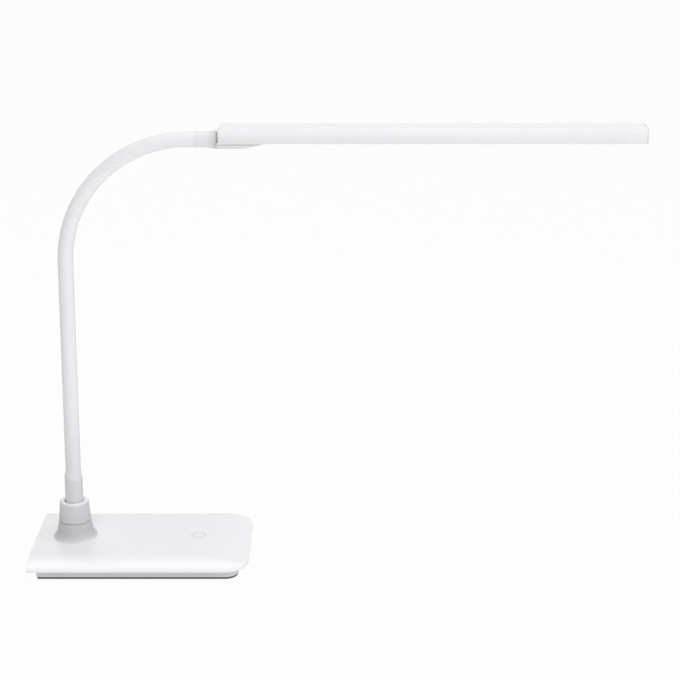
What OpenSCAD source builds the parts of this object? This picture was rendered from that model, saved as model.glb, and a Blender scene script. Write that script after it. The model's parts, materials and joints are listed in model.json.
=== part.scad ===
// Folding LED desk lamp: a weighted touch base, a swivelling flexible neck and a straight light bar.
// Millimetres. The origin is the centre of the foot on the table, +X points along the light bar
// to its free end, and +Z is up. The lamp's middle plane is Y = 0.

/* [Base] */
// Length of the base shell
base_len = 214; // [200:1:240]
// Width of the base shell
base_wid = 134; // [126:1:150]
// Height of the top face above the table
base_top = 19.7; // [19:0.1:22]
// Underside of the shell's rim above the table
rim_z = 9.6; // [8.6:0.1:10.4]
// Wall of the moulded shell
shell_wall = 2.2; // [1.8:0.1:2.4]
// Radius of the base's two front corners in plan
corner_r = 25; // [24:0.5:32]
// Reach of the rounded edge in from the rim
edge_reach = 21.8; // [18:0.2:23]
// Radius of the tight part of the rounded edge
edge_tight_r = 5; // [4:0.5:6]
// Radius of the gentle slope that ends the top face in front
nose_r = 180; // [150:5:260]
// Where that slope starts, from the middle of the base
nose_start = 60; // [50:1:70]
// How far the grey plinth stands in from the rim
plinth_inset = 5.9; // [5.4:0.1:8]
// Radius of the plinth's two front corners in plan
plinth_corner_r = 12.7; // [8:0.1:16]
// Thickness of the rubber foot
foot_h = 2.1; // [1.6:0.1:2.6]

/* [Swivel] */
// Distance of the neck's axis behind the middle of the base
neck_back = 68.4; // [64:0.2:72]
// Height of the seam between the fixed boot and the turning collar
seam_z = 37; // [34:0.5:40]
// Radius of the boot and the collar at that seam
seam_r = 15.8; // [15:0.1:17]
// Radius of the boot's flared foot
boot_foot_r = 21.8; // [20:0.2:23]
// Height of the collar's top
collar_top = 58; // [54:0.5:62]
// Radius of the hollow post that turns in the base
post_r = 6; // [5.6:0.1:6.4]
// Turn of the neck each way, to its stops
swivel_limit = 170; // [150:1:171]

/* [Neck] */
// Lean of the neck's straight stem towards the bar
stem_lean = 0.76; // [0:0.02:3]
// Length of the straight stem
stem_len = 260.3; // [240:1:280]
// Radius of the neck's bend at rest
bend_r = 119.3; // [112:0.5:126]
// Rigid lengths of core in the stem
stem_links = 8; // [6:1:8]
// Rigid lengths of core in the bend
bend_links = 7; // [6:1:8]
// Length of one stem link between its two joints
stem_link = 25.5; // [24:0.5:26]
// Sleeve radius at the foot of the stem
sleeve_foot_r = 8.1; // [7.9:0.05:8.4]
// Sleeve radius round the bend
sleeve_r = 7.5; // [7.3:0.05:7.8]
// Radius of the ferrule at the foot of the neck
ferrule_r = 9.4; // [9:0.1:9.6]
// Length of the straight end that carries the bar
end_len = 26.2; // [24:0.2:30]

/* [Light bar] */
// Length of the light bar
bar_len = 400; // [360:5:440]
// Height of the light bar's section
bar_h = 15.1; // [14:0.1:17]
// Greatest width of the light bar
bar_wid = 29.1; // [28:0.1:32]
// Radius of its bulging sides
bar_side_r = 24.4; // [22:0.2:30]
// Wall of the housing
bar_wall = 1.6; // [1.4:0.1:1.8]
// Thickness of the end caps
cap_t = 2.8; // [2.4:0.1:3.2]
// Distance of the bar's top above the neck's end axis
bar_rise = 13.3; // [12.6:0.1:14]
// Number of light diodes
led_count = 48; // [24:4:60]

/* [Hidden] */
$fn = 96;
eps = 0.01;
through = 1;                       // how far a cut runs past what it cuts

// base
half_len = base_len / 2;
half_wid = base_wid / 2;
rim_wall_h = 0.9;                  // upright band at the foot of the rounded edge
edge_drop = base_top - rim_z - rim_wall_h;
cover_t = 1.8;                     // thickness of the tray's flange inside the rim
tray_floor_top = foot_h + 2.2;
tray_wall = 2;
foot_inset = 0.7;                  // the foot stands in from the plinth
plinth_back = -half_len + plinth_inset + 2.6;
plinth_front = half_len - plinth_inset - 3.6;
plinth_half = half_wid - plinth_inset;
boss_r = 3.4;
screw_r = 1.5;
screw_head_r = 2.8;
tray_screw_x = [-88, 0, 76];
tray_screw_y = 49;
mark_x = 54.9;                     // centre of the touch mark
mark_r = 6.4;
mark_line = 1;
mark_depth = 0.3;
mark_tick = [2.6, 2.5];            // reach of the tick inside and outside the ring's middle line

// counterweight, a flat iron plate round the swivel
weight_back = -92;
weight_front = 28;
weight_half = 42;
weight_t = 6;
weight_hole_r = 16;
lead_slot = 7;
weight_screw_at = [[-40, 32], [-40, -32], [12, 32], [12, -32]];

// control board under the touch mark
board_at = [57, 0, 11.2];
board_size = [46, 58, 1.6];
board_post_r = 2.6;

// power inlet in the rear wall
inlet_z = 14;
inlet_hole_r = 3.4;
inlet_bore_r = 2.9;
inlet_pin_r = 1;
inlet_size = [13.5, 9, 6.6];
inlet_room = 0.2;                  // clearance round the inlet in the tray's flange

// swivel stack, from the collar down to the nut
sx = -neck_back;
bush_r = 8;
running = 0.05;                    // radial clearance of a turning fit
washer_t = 0.4;
boss_bottom = 15.6;
stop_t = 1;
wave_t = 0.9;
nut_h = 4;
stop_top = boss_bottom - 0.1;
wave_top = stop_top - stop_t;
nut_top = wave_top - wave_t;
nut_bottom = nut_top - nut_h;
post_bottom = nut_bottom - 0.4;
boss_ring_r = 15.2;                // plastic ring under the top face that carries the swivel
boot_screw_circle = 12.1;
boot_screw_r = 1;
boot_screw_seat = 1.9;             // depth of the screw heads' recesses
boot_screw_len = 9;
stop_half = (178 - swivel_limit) / 2;      // half the angle of the stop lug and of the stop tab
flange_z = seam_z + 3;             // shelf in the collar that the post's flange stands on
flange_t = 3;
flange_r = 9;
post_bore_r = 3.2;
collar_top_r = seam_r - 1;
collar_bore_r = ferrule_r + 0.5;
collar_round = 2.4;

// the neck's path: up the stem, round the bend, then level to the bar
neck_z0 = flange_z + flange_t;
bend_sweep = 90 - stem_lean;
bend_step = bend_sweep / bend_links;
link_count = stem_links + bend_links;
first_joint = stem_len - stem_links * stem_link;
stem_end_x = sx + stem_len * sin(stem_lean);
stem_end_z = neck_z0 + stem_len * cos(stem_lean);
bend_cx = stem_end_x + bend_r * cos(stem_lean);
bend_cz = stem_end_z - bend_r * sin(stem_lean);
axis_z = bend_cz + bend_r;         // height of the neck's end and of the bar's roll axis
end_x = bend_cx + end_len;         // where the neck ends

function heading(k) = k <= stem_links ? stem_lean : stem_lean + (k - stem_links) * bend_step;
function joint_x(k) = k <= stem_links
    ? sx + (first_joint + k * stem_link) * sin(stem_lean)
    : bend_cx - bend_r * cos(heading(k));
function joint_z(k) = k <= stem_links
    ? neck_z0 + (first_joint + k * stem_link) * cos(stem_lean)
    : bend_cz + bend_r * sin(heading(k));
function link_name(k) = str("neck_link_", k < 10 ? "0" : "", k);

// core of the neck
core_r = 6.2;
core_bore_r = 4.4;
ball_r = 5.4;
ball_gap = 0.2;
ball_neck_r = 4.4;
shoulder = 2.6;                    // from a joint's centre to the next length of core
lead_r = 1.8;
sleeve_bore_r = core_r + 0.3;
ferrule_len = 36.5;
cuff_len = 10;                     // the sleeve's foot narrows over this length
cuff_flat = 2;
level_start = 6.2;                 // level part of the sleeve, before the end boot
end_gap = 0.3;                     // seam between the neck's end and the bar's bracket
boot_len = end_len - level_start - end_gap / 2;
boot_gain = 1.75;                  // how much the end boot flares
journal_r = 5;
journal_len = 19.1;
steps = 10;                        // points along a curved profile

// light bar
bar_x0 = end_x + 3.1;
bar_x1 = bar_x0 + bar_len;
bar_z1 = axis_z + bar_rise;
bar_z0 = bar_z1 - bar_h;
bar_side_z = bar_z0 + 0.43 * bar_h;        // height of the widest point
bar_side_c = bar_side_r - bar_wid / 2;
cap_end_r = 15;                    // curve of the free end, seen from the side
cap_plan_r = 70;                   // and seen from above
tongue_r = 9.2;
bracket_x0 = end_x + end_gap / 2;
tongue_flat = 23.2;
tongue_len = 49;
tongue_groove = 2.6;               // height of the groove between the bar and the tongue's lip
barrel_r = 8.2;
barrel_len = 16;
roll_bush_r = 6.4;
web_half = 6;
web_top = bar_z0 + 5;
web_x1 = bracket_x0 + tongue_len - 4;
room_x0 = bracket_x0 + barrel_len;         // room for the journal's end, the clip and the lead
room_len = 10;
room_half = journal_r + 1.6;
bracket_low = axis_z - tongue_r;
bracket_ramp = (bar_z0 - 0.4 - bracket_low) / (tongue_len - tongue_flat);
bracket_screw_x = [bracket_x0 + 30.5, bracket_x0 + 40.5];
bar_boss_r = 3;
screw_tip_z = bar_z1 - bar_wall - 2;
cover_x1 = bracket_x0 + tongue_len + 2;
diffuser_proud = 0.35;
diffuser_t = 1.6;
board_x0 = cover_x1 + 3;
led_size = [3.5, 2.8, 0.8];
led_board_half = 9;
led_board_t = 1.2;
led_board_z = bar_z1 - bar_wall - led_board_t;
lead_turn_x = end_x + journal_len + 0.8;   // where the lead turns up to the board in the bar
lead_turn_r = 4;
led_board_x0 = lead_turn_x + lead_turn_r - 4;
led_pitch = (bar_x1 - cap_t - board_x0 - 8) / led_count;

// Height of the seat of a bracket screw at x, sunk in the tongue's ramp
function screw_seat(x) = bracket_low + (x - bracket_x0 - tongue_flat) * bracket_ramp + 2.6;

// ---- shapes that repeat ----

// A tube along +Z
module tube(r, bore, h) {
    difference() {
        cylinder(r = r, h = h);
        translate([0, 0, -through]) cylinder(r = bore, h = h + 2 * through);
    }
}

// A pan-head screw, its head at the origin and its shank along +Z
module screw(len, shank_r, head_r, head_h) {
    difference() {
        union() {
            translate([0, 0, -head_h]) cylinder(r = head_r, h = head_h, $fn = 48);
            cylinder(r = shank_r, h = len, $fn = 48);
        }
        for (turn = [0, 90])
            translate([0, 0, -head_h]) rotate([0, 0, turn])
                cube([head_r * 1.2, 0.6, head_h], center = true);
    }
}

// Moves its children to the swivel's axis
module at_swivel() {
    translate([sx, 0, 0]) children();
}

// Moves its children to joint k of the neck, with +Z along the neck
module at_joint(k) {
    translate([joint_x(k), 0, joint_z(k)]) rotate([0, heading(k), 0]) children();
}

// Moves its children to the foot of the stem, with +Z along the stem
module at_stem() {
    translate([sx, 0, neck_z0]) rotate([0, stem_lean, 0]) children();
}

// Moves its children to the neck's level end, with +Z along the bar
module at_end() {
    translate([bend_cx, 0, axis_z]) rotate([0, 90, 0]) children();
}

// A solid round bar of radius r along the neck's bend, starting at the origin along +Z
module bent_rod(r, sweep, sides = 72) {
    translate([bend_r, 0, 0]) rotate([90, 0, 180])
        rotate_extrude(angle = sweep, $fn = 360) translate([bend_r, 0]) circle(r = r, $fn = sides);
}

// ---- base ----

// Half section of the base's edge: x from the rim inwards, y up, inset by t on all faces.
// A wide arc comes down from the top face and runs into a tight one above the upright band.
module edge_profile(t) {
    top = base_top - t;
    knee = rim_z + rim_wall_h;
    tight_c = [edge_tight_r, knee];
    wide_r = ((edge_reach - edge_tight_r) ^ 2 + edge_drop ^ 2 - edge_tight_r ^ 2)
        / (2 * (edge_drop - edge_tight_r));
    wide_c = [edge_reach, base_top - wide_r];
    join = tight_c + (tight_c - wide_c) * (edge_tight_r - t) / (wide_r - edge_tight_r);
    polygon([[t, rim_z], [corner_r, rim_z], [corner_r, top], [edge_reach, top], join, tight_c, [t, knee]]);
    intersection() {
        translate(wide_c) circle(r = wide_r - t, $fn = 360);
        polygon([join, [edge_reach, top], [join[0], top]]);
    }
    intersection() {
        translate(tight_c) circle(r = edge_tight_r - t, $fn = 120);
        polygon([tight_c, join, [t, join[1]], [t, knee]]);
    }
}

// Solid block of the base's outer form, inset by t on every face but the underside
module base_form(t) {
    span = 2 * (half_wid - corner_r);
    intersection() {
        union() {
            for (side = [0, 1]) mirror([0, side, 0]) {
                // long side edge
                translate([-half_len + t, -half_wid, 0]) rotate([90, 0, 90])
                    linear_extrude(base_len - corner_r - t) edge_profile(t);
                // rounded corner
                translate([half_len - corner_r, -half_wid + corner_r, 0]) rotate([0, 0, -90])
                    rotate_extrude(angle = 90, $fn = 180)
                        translate([corner_r, 0]) mirror([1, 0]) edge_profile(t);
            }
            // front edge
            translate([half_len, span / 2, 0]) rotate([90, 0, 0])
                linear_extrude(span) mirror([1, 0]) edge_profile(t);
            // middle
            translate([-half_len + t, -span / 2, rim_z])
                cube([base_len - corner_r - t, span, base_top - t - rim_z]);
        }
        // gentle slope of the nose
        union() {
            translate([-half_len - through, -half_wid - through, rim_z - through])
                cube([half_len + nose_start + through, base_wid + 2 * through, base_top]);
            translate([nose_start, 0, base_top - nose_r]) rotate([90, 0, 0])
                cylinder(r = nose_r - t, h = base_wid + 2 * through, center = true, $fn = 360);
        }
    }
}

// Outline in plan of the plinth, moved in by t
module plinth_outline(t) {
    r = plinth_corner_r - t;
    back = plinth_back + t;
    front = plinth_front - t;
    half = plinth_half - t;
    union() {
        translate([back, -half]) square([front - r - back, 2 * half]);
        translate([front - r - eps, -half + r]) square([r + eps, 2 * (half - r)]);
        for (side = [1, -1]) translate([front - r, side * (half - r)]) circle(r = r);
    }
}

// Puts its children at each tray screw
module tray_screw_places() {
    for (x = tray_screw_x, side = [1, -1]) translate([x, side * tray_screw_y, 0]) children();
}

// Puts its children at each screw of the pivot boot
module boot_screw_places() {
    at_swivel() for (turn = [0, 120, 240])
        rotate([0, 0, turn]) translate([boot_screw_circle, 0, 0]) children();
}

// Outline of the touch mark, a ring that is open where a tick crosses it
module power_symbol() {
    translate([mark_x, 0]) {
        difference() {
            circle(r = mark_r + mark_line / 2);
            circle(r = mark_r - mark_line / 2);
            translate([-mark_r, 0]) square([3 * mark_line, 3.4 * mark_line], center = true);
        }
        translate([-mark_r - mark_tick[1], -mark_line / 2])
            square([mark_tick[0] + mark_tick[1], mark_line]);
    }
}

module base_shell() color([0.96, 0.95, 0.96]) {
    difference() {
        union() {
            difference() {
                base_form(0);
                difference() {
                    translate([0, 0, -eps]) base_form(shell_wall);
                    // ring of plastic that carries the swivel
                    at_swivel() translate([0, 0, boss_bottom]) cylinder(r = boss_ring_r, h = base_top);
                    // lug that stops the swivel, behind the post
                    at_swivel() rotate([0, 0, 180 - stop_half]) rotate_extrude(angle = 2 * stop_half)
                        translate([11.8, wave_top]) square([4, base_top - wave_top]);
                }
            }
            // screw bosses for the tray
            intersection() {
                tray_screw_places() translate([0, 0, rim_z + cover_t]) cylinder(r = boss_r, h = base_top);
                base_form(eps);
            }
        }
        at_swivel() translate([0, 0, boss_bottom - through])
            cylinder(r = bush_r, h = base_top - boss_bottom + 2 * through);
        tray_screw_places() translate([0, 0, rim_z + cover_t - through])
            cylinder(r = screw_r - 0.2, h = 6.4, $fn = 48);
        boot_screw_places() {
            translate([0, 0, boss_bottom - through]) cylinder(r = 2.3, h = boot_screw_seat + through, $fn = 48);
            translate([0, 0, boss_bottom]) cylinder(r = 1.2, h = base_top - boss_bottom + through, $fn = 48);
        }
        translate([-half_len - through, 0, inlet_z]) rotate([0, 90, 0])
            cylinder(r = inlet_hole_r, h = shell_wall + 2 * through);
        translate([0, 0, base_top - mark_depth]) linear_extrude(2 * mark_depth) power_symbol();
    }
}

module base_tray() color([0.74, 0.73, 0.75]) {
    difference() {
        union() {
            translate([0, 0, foot_h]) linear_extrude(rim_z - foot_h) plinth_outline(0);
            // flange that lies inside the shell's rim
            intersection() {
                base_form(shell_wall + 0.2);
                translate([-half_len, -half_wid, rim_z]) cube([base_len, base_wid, cover_t]);
            }
        }
        translate([0, 0, tray_floor_top]) linear_extrude(rim_z) plinth_outline(tray_wall);
        tray_screw_places() translate([0, 0, foot_h - through])
            cylinder(r = screw_head_r + 0.3, h = 2.2 + through);
        // pocket under the power inlet
        translate([-half_len, -inlet_size[1] / 2 - inlet_room, inlet_z - inlet_size[2] / 2 - inlet_room])
            cube([shell_wall + inlet_size[0] + inlet_room, inlet_size[1] + 2 * inlet_room, inlet_size[2]]);
    }
    // pillars for the screws, the weight and the board
    difference() {
        union() {
            tray_screw_places() translate([0, 0, foot_h + 2])
                cylinder(r = boss_r + 1, h = rim_z + cover_t - foot_h - 2);
            for (x = [-1, 1], y = [-1, 1])
                translate([board_at[0] + x * 18, y * 24, tray_floor_top])
                    cylinder(r = board_post_r, h = board_at[2] - tray_floor_top);
        }
        tray_screw_places() translate([0, 0, foot_h - through]) {
            cylinder(r = screw_r + 0.1, h = base_top, $fn = 48);
            cylinder(r = screw_head_r + 0.3, h = 2.2 + through, $fn = 48);
        }
    }
}

module foot_pad() color([0.3, 0.3, 0.31]) {
    linear_extrude(foot_h) plinth_outline(foot_inset);
}

module counterweight() color([0.45, 0.46, 0.48]) {
    translate([0, 0, tray_floor_top]) difference() {
        translate([weight_back, -weight_half, 0])
            cube([weight_front - weight_back, 2 * weight_half, weight_t]);
        at_swivel() translate([0, 0, -through]) cylinder(r = weight_hole_r, h = weight_t + 2 * through);
        translate([sx, -lead_slot / 2, -through])
            cube([weight_front - sx + through, lead_slot, weight_t + 2 * through]);
        for (p = weight_screw_at) translate([p[0], p[1], -through])
            cylinder(r = screw_r, h = weight_t + 2 * through, $fn = 48);
    }
}

module weight_screws() color([0.7, 0.71, 0.73]) {
    for (p = weight_screw_at)
        translate([p[0], p[1], tray_floor_top + weight_t]) mirror([0, 0, 1])
            screw(weight_t, screw_r, screw_head_r, 1.6);
}

module tray_screws() color([0.7, 0.71, 0.73]) {
    tray_screw_places() translate([0, 0, foot_h + 2.2])
        screw(rim_z + cover_t - foot_h - 2.2 + 5, screw_r - 0.2, screw_head_r, 1.8);
}

module control_board() color([0.16, 0.42, 0.25]) {
    translate(board_at) translate([-board_size[0] / 2, -board_size[1] / 2, 0]) cube(board_size);
}

module board_parts() color([0.2, 0.2, 0.22]) {
    translate([board_at[0], 0, board_at[2] + board_size[2]]) {
        // driver chip, controller chip, coil and capacitors
        translate([-17, 10, 0]) cube([5, 6, 1.5]);
        translate([-17, -16, 0]) cube([7, 7, 1.5]);
        translate([10, 18, 0]) cylinder(r = 4, h = 3.2);
        translate([12, -18, 0]) cylinder(r = 2.5, h = 3);
        translate([4, -22, 0]) cylinder(r = 2.5, h = 3);
        // lead socket
        translate([-21, -4, 0]) cube([6, 8, 3]);
    }
}

module touch_spring() color([0.8, 0.78, 0.7]) {
    // a contact cup that presses under the touch mark
    low = board_at[2] + board_size[2];
    translate([mark_x, 0, low]) tube(5, 4.2, base_top - shell_wall - 0.05 - low);
}

module power_mark() color([0.78, 0.77, 0.79]) {
    translate([0, 0, base_top - mark_depth]) linear_extrude(mark_depth) power_symbol();
}

module dc_jack() color([0.12, 0.12, 0.13]) {
    translate([-half_len + shell_wall, 0, inlet_z]) difference() {
        translate([0, -inlet_size[1] / 2, -inlet_size[2] / 2]) cube(inlet_size);
        translate([-through, 0, 0]) rotate([0, 90, 0]) difference() {
            cylinder(r = inlet_bore_r, h = inlet_size[0] - 2 + through);
            cylinder(r = inlet_pin_r, h = inlet_size[0]);
        }
    }
}

// ---- swivel ----

module pivot_boot() color([0.83, 0.82, 0.84]) {
    taper_z = 28.5;
    taper_r = 17.3;
    flare_r = 14;
    slope = [taper_r - seam_r, taper_z - seam_z];
    out = [-slope[1], slope[0]] / norm(slope);
    difference() {
        at_swivel() rotate_extrude() difference() {
            polygon([[bush_r, base_top], [boot_foot_r, base_top], [boot_foot_r, taper_z],
                     [taper_r, taper_z], [seam_r, seam_z], [bush_r, seam_z]]);
            translate([taper_r, taper_z] + out * flare_r) circle(r = flare_r, $fn = 240);
        }
        // hollow between the outer wall and the bush, with three pillars for the screws
        difference() {
            at_swivel() translate([0, 0, base_top - through])
                tube(13.6, 10.6, seam_z - base_top - 2.5 + through);
            boot_screw_places() translate([0, 0, base_top - 2 * through]) cylinder(r = 2.4, h = seam_z);
        }
        boot_screw_places() translate([0, 0, base_top - through])
            cylinder(r = boot_screw_r, h = boot_screw_len, $fn = 48);
    }
}

module boot_screws() color([0.7, 0.71, 0.73]) {
    boot_screw_places() translate([0, 0, boss_bottom + boot_screw_seat])
        screw(boot_screw_len, boot_screw_r, 2, 1.6);
}

module swivel_bush() color([0.9, 0.9, 0.88]) {
    at_swivel() translate([0, 0, boss_bottom]) tube(bush_r, post_r + running, seam_z - boss_bottom);
}

module thrust_washer() color([0.35, 0.35, 0.36]) {
    at_swivel() translate([0, 0, seam_z]) tube(11, post_r, washer_t);
}

module swivel_post() color([0.72, 0.73, 0.75]) {
    sunk = 0.6;                    // the leaning tube is welded this deep into the flange
    difference() {
        union() {
            at_swivel() translate([0, 0, post_bottom]) cylinder(r = post_r, h = flange_z - post_bottom + 1);
            at_swivel() translate([0, 0, flange_z]) cylinder(r = flange_r, h = flange_t);
            at_stem() translate([0, 0, -sunk]) cylinder(r = core_r, h = first_joint + sunk);
        }
        at_swivel() translate([0, 0, post_bottom - through])
            cylinder(r = post_bore_r, h = neck_z0 - post_bottom + 2 * through);
        at_stem() translate([0, 0, 0.3]) cylinder(r = core_bore_r, h = first_joint);
        at_stem() translate([0, 0, first_joint]) sphere(r = ball_r + ball_gap);
    }
}

module stop_washer() color([0.6, 0.61, 0.63]) {
    at_swivel() translate([0, 0, wave_top]) {
        tube(11, post_r, stop_t);
        rotate([0, 0, -stop_half]) rotate_extrude(angle = 2 * stop_half)
            translate([10.5, 0]) square([4.5, stop_t]);
    }
}

module wave_washer() color([0.66, 0.67, 0.69]) {
    at_swivel() translate([0, 0, nut_top]) tube(9.6, post_r, wave_t);
}

module swivel_nut() color([0.7, 0.71, 0.73]) {
    at_swivel() translate([0, 0, nut_bottom]) difference() {
        cylinder(r = 10, h = nut_h, $fn = 6);
        translate([0, 0, -through]) cylinder(r = post_r, h = nut_h + 2 * through);
    }
}

module swivel_collar() color([0.87, 0.86, 0.88]) {
    low = seam_z + washer_t;
    at_swivel() difference() {
        rotate_extrude() union() {
            polygon([[0, low], [seam_r, low], [collar_top_r + 0.12, collar_top - collar_round],
                     [collar_top_r - collar_round, collar_top - collar_round],
                     [collar_top_r - collar_round, collar_top], [0, collar_top]]);
            intersection() {
                translate([collar_top_r - collar_round + 0.06, collar_top - collar_round])
                    circle(r = collar_round);
                translate([0, collar_top - collar_round]) square([seam_r, collar_round]);
            }
        }
        translate([0, 0, low - through]) cylinder(r = post_r, h = collar_top);
        translate([0, 0, flange_z]) cylinder(r = collar_bore_r, h = collar_top);
    }
}

module neck_ferrule() color([0.88, 0.87, 0.89]) {
    at_stem() translate([0, 0, 0.1]) tube(ferrule_r, core_r, ferrule_len - 0.1);
}

// ---- neck ----

module neck_sleeve() color([0.93, 0.92, 0.93]) {
    straight = stem_len - ferrule_len;
    at_stem() translate([0, 0, ferrule_len]) difference() {
        union() {
            // the foot widens to the ferrule in an even S
            rotate_extrude() polygon(concat([[0, 0], [ferrule_r, 0]],
                [for (i = [0:steps]) let (t = i / steps)
                    [sleeve_foot_r + (ferrule_r - sleeve_foot_r) * (0.5 + 0.5 * cos(180 * t)),
                     cuff_flat + (cuff_len - cuff_flat) * t]],
                [[0, cuff_len]]));
            translate([0, 0, cuff_len]) cylinder(r1 = sleeve_foot_r, r2 = sleeve_r, h = straight - cuff_len);
        }
        translate([0, 0, -through]) cylinder(r = sleeve_bore_r, h = straight + 2 * through);
    }
    at_joint(stem_links) difference() {
        bent_rod(sleeve_r, bend_sweep);
        bent_rod(sleeve_bore_r, bend_sweep);
    }
    at_end() tube(sleeve_r, sleeve_bore_r, level_start);
}

// Lead inside the base, from the control board up into the post
module base_lead() color([0.2, 0.2, 0.22]) {
    low = tray_floor_top + lead_r + 0.2;
    turn_r = 5;
    from_x = board_at[0] - board_size[0] / 2 - 1;
    translate([sx + turn_r, 0, low]) rotate([0, 90, 0])
        cylinder(r = lead_r, h = from_x - sx - turn_r, $fn = 32);
    translate([sx + turn_r, 0, low + turn_r]) rotate([-90, 0, 0]) rotate([0, 0, 90])
        rotate_extrude(angle = 90) translate([turn_r, 0]) circle(r = lead_r, $fn = 32);
    at_swivel() translate([0, 0, low + turn_r])
        cylinder(r = lead_r, h = neck_z0 - low - turn_r - 0.1, $fn = 32);
}

// Lead through the whole neck to the light bar, a little slimmer where it is drawn round the bend
module neck_lead() color([0.2, 0.2, 0.22]) {
    at_stem() cylinder(r = lead_r, h = stem_len, $fn = 32);
    at_joint(stem_links) bent_rod(lead_r - 0.1, bend_sweep, 24);
    at_end() translate([0, 0, -0.2]) cylinder(r = lead_r, h = lead_turn_x - bend_cx + 0.4, $fn = 32);
    // turn up to the end of the light board
    translate([lead_turn_x, 0, axis_z + lead_turn_r]) rotate([-90, 0, 0])
        rotate_extrude(angle = 90) translate([lead_turn_r, 0]) circle(r = lead_r - 0.1, $fn = 32);
    translate([lead_turn_x + lead_turn_r, 0, axis_z + lead_turn_r - 0.2])
        cylinder(r = lead_r, h = led_board_z - axis_z - lead_turn_r + 0.1, $fn = 32);
}

// Moves its children round the neck's bend by an angle, from the origin
module round_bend(angle) {
    translate([bend_r, 0, 0]) rotate([0, angle, 0]) translate([-bend_r, 0, 0]) children();
}

// One rigid length of the core: a ball below, a socket above
module neck_link(k) color([0.62, 0.63, 0.66]) {
    bent = k > stem_links;
    bore_start = 5;                // the lead's bore widens past the ball
    at_joint(k - 1) difference() {
        union() {
            sphere(r = ball_r);
            cylinder(r = ball_neck_r, h = shoulder + 1);
            difference() {
                if (bent) bent_rod(core_r, bend_step);
                else cylinder(r = core_r, h = stem_link);
                translate([0, 0, -core_r]) cylinder(r = 2 * core_r, h = core_r + shoulder);
            }
        }
        translate([0, 0, -2 * core_r]) cylinder(r = post_bore_r, h = 2 * core_r + bore_start + 1);
        if (bent) round_bend(bore_start * bend_step / stem_link) bent_rod(core_bore_r, bend_step);
        else translate([0, 0, bore_start]) cylinder(r = core_bore_r, h = stem_link);
        if (bent) round_bend(bend_step) sphere(r = ball_r + ball_gap);
        else translate([0, 0, stem_link]) sphere(r = ball_r + ball_gap);
    }
}

module neck_end_fitting() color([0.68, 0.69, 0.72]) {
    body = end_len - 2;
    at_end() difference() {
        union() {
            sphere(r = ball_r);
            cylinder(r = ball_neck_r, h = shoulder + 1);
            translate([0, 0, shoulder]) cylinder(r = core_r, h = body - shoulder);
            cylinder(r = journal_r, h = end_len + journal_len);
        }
        translate([0, 0, -2 * core_r]) cylinder(r = post_bore_r, h = end_len + journal_len + 4 * core_r);
        // groove for the clip
        translate([0, 0, end_len + journal_len - 2.4]) tube(core_r, journal_r - 0.8, 1.2);
    }
}

module neck_end_boot() color([0.9, 0.89, 0.91]) {
    at_end() translate([0, 0, level_start]) difference() {
        rotate_extrude() polygon(concat([[0, 0]],
            [for (i = [0:steps]) let (t = i / steps)
                [sleeve_r + boot_gain * t * t, boot_len * t]],
            [[0, boot_len]]));
        translate([0, 0, -through]) cylinder(r = core_r, h = end_len - 2 - level_start + through);
        cylinder(r = journal_r + 0.2, h = end_len);
    }
}

// ---- light bar ----

module roll_clip() color([0.55, 0.56, 0.58]) {
    at_end() translate([0, 0, end_len + journal_len - 2.3]) difference() {
        tube(journal_r + 1.3, journal_r - 0.75, 1);
        translate([0, -1.2, -through]) cube([2 * journal_r, 2.4, 3 * through]);
    }
}

module roll_bush() color([0.9, 0.9, 0.88]) {
    translate([bracket_x0, 0, axis_z]) rotate([0, 90, 0])
        tube(roll_bush_r, journal_r + running, barrel_len - 0.6);
}

// Outline of the bar's section, inset by t: x across, y up
module bar_section(t) {
    intersection() {
        translate([-bar_side_c, bar_side_z]) circle(r = bar_side_r - t, $fn = 360);
        translate([bar_side_c, bar_side_z]) circle(r = bar_side_r - t, $fn = 360);
        translate([-bar_wid, bar_z0]) square([2 * bar_wid, bar_h - t]);
    }
}

// Extrudes a section drawn across the bar, from x to x + len
module along_bar(x, len) {
    translate([x, 0, 0]) rotate([90, 0, 90]) linear_extrude(len) children();
}

// A round bar along the roll axis, from the bracket's face
module on_axis(r, len) {
    translate([bracket_x0, 0, axis_z]) rotate([0, 90, 0]) cylinder(r = r, h = len);
}

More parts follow.
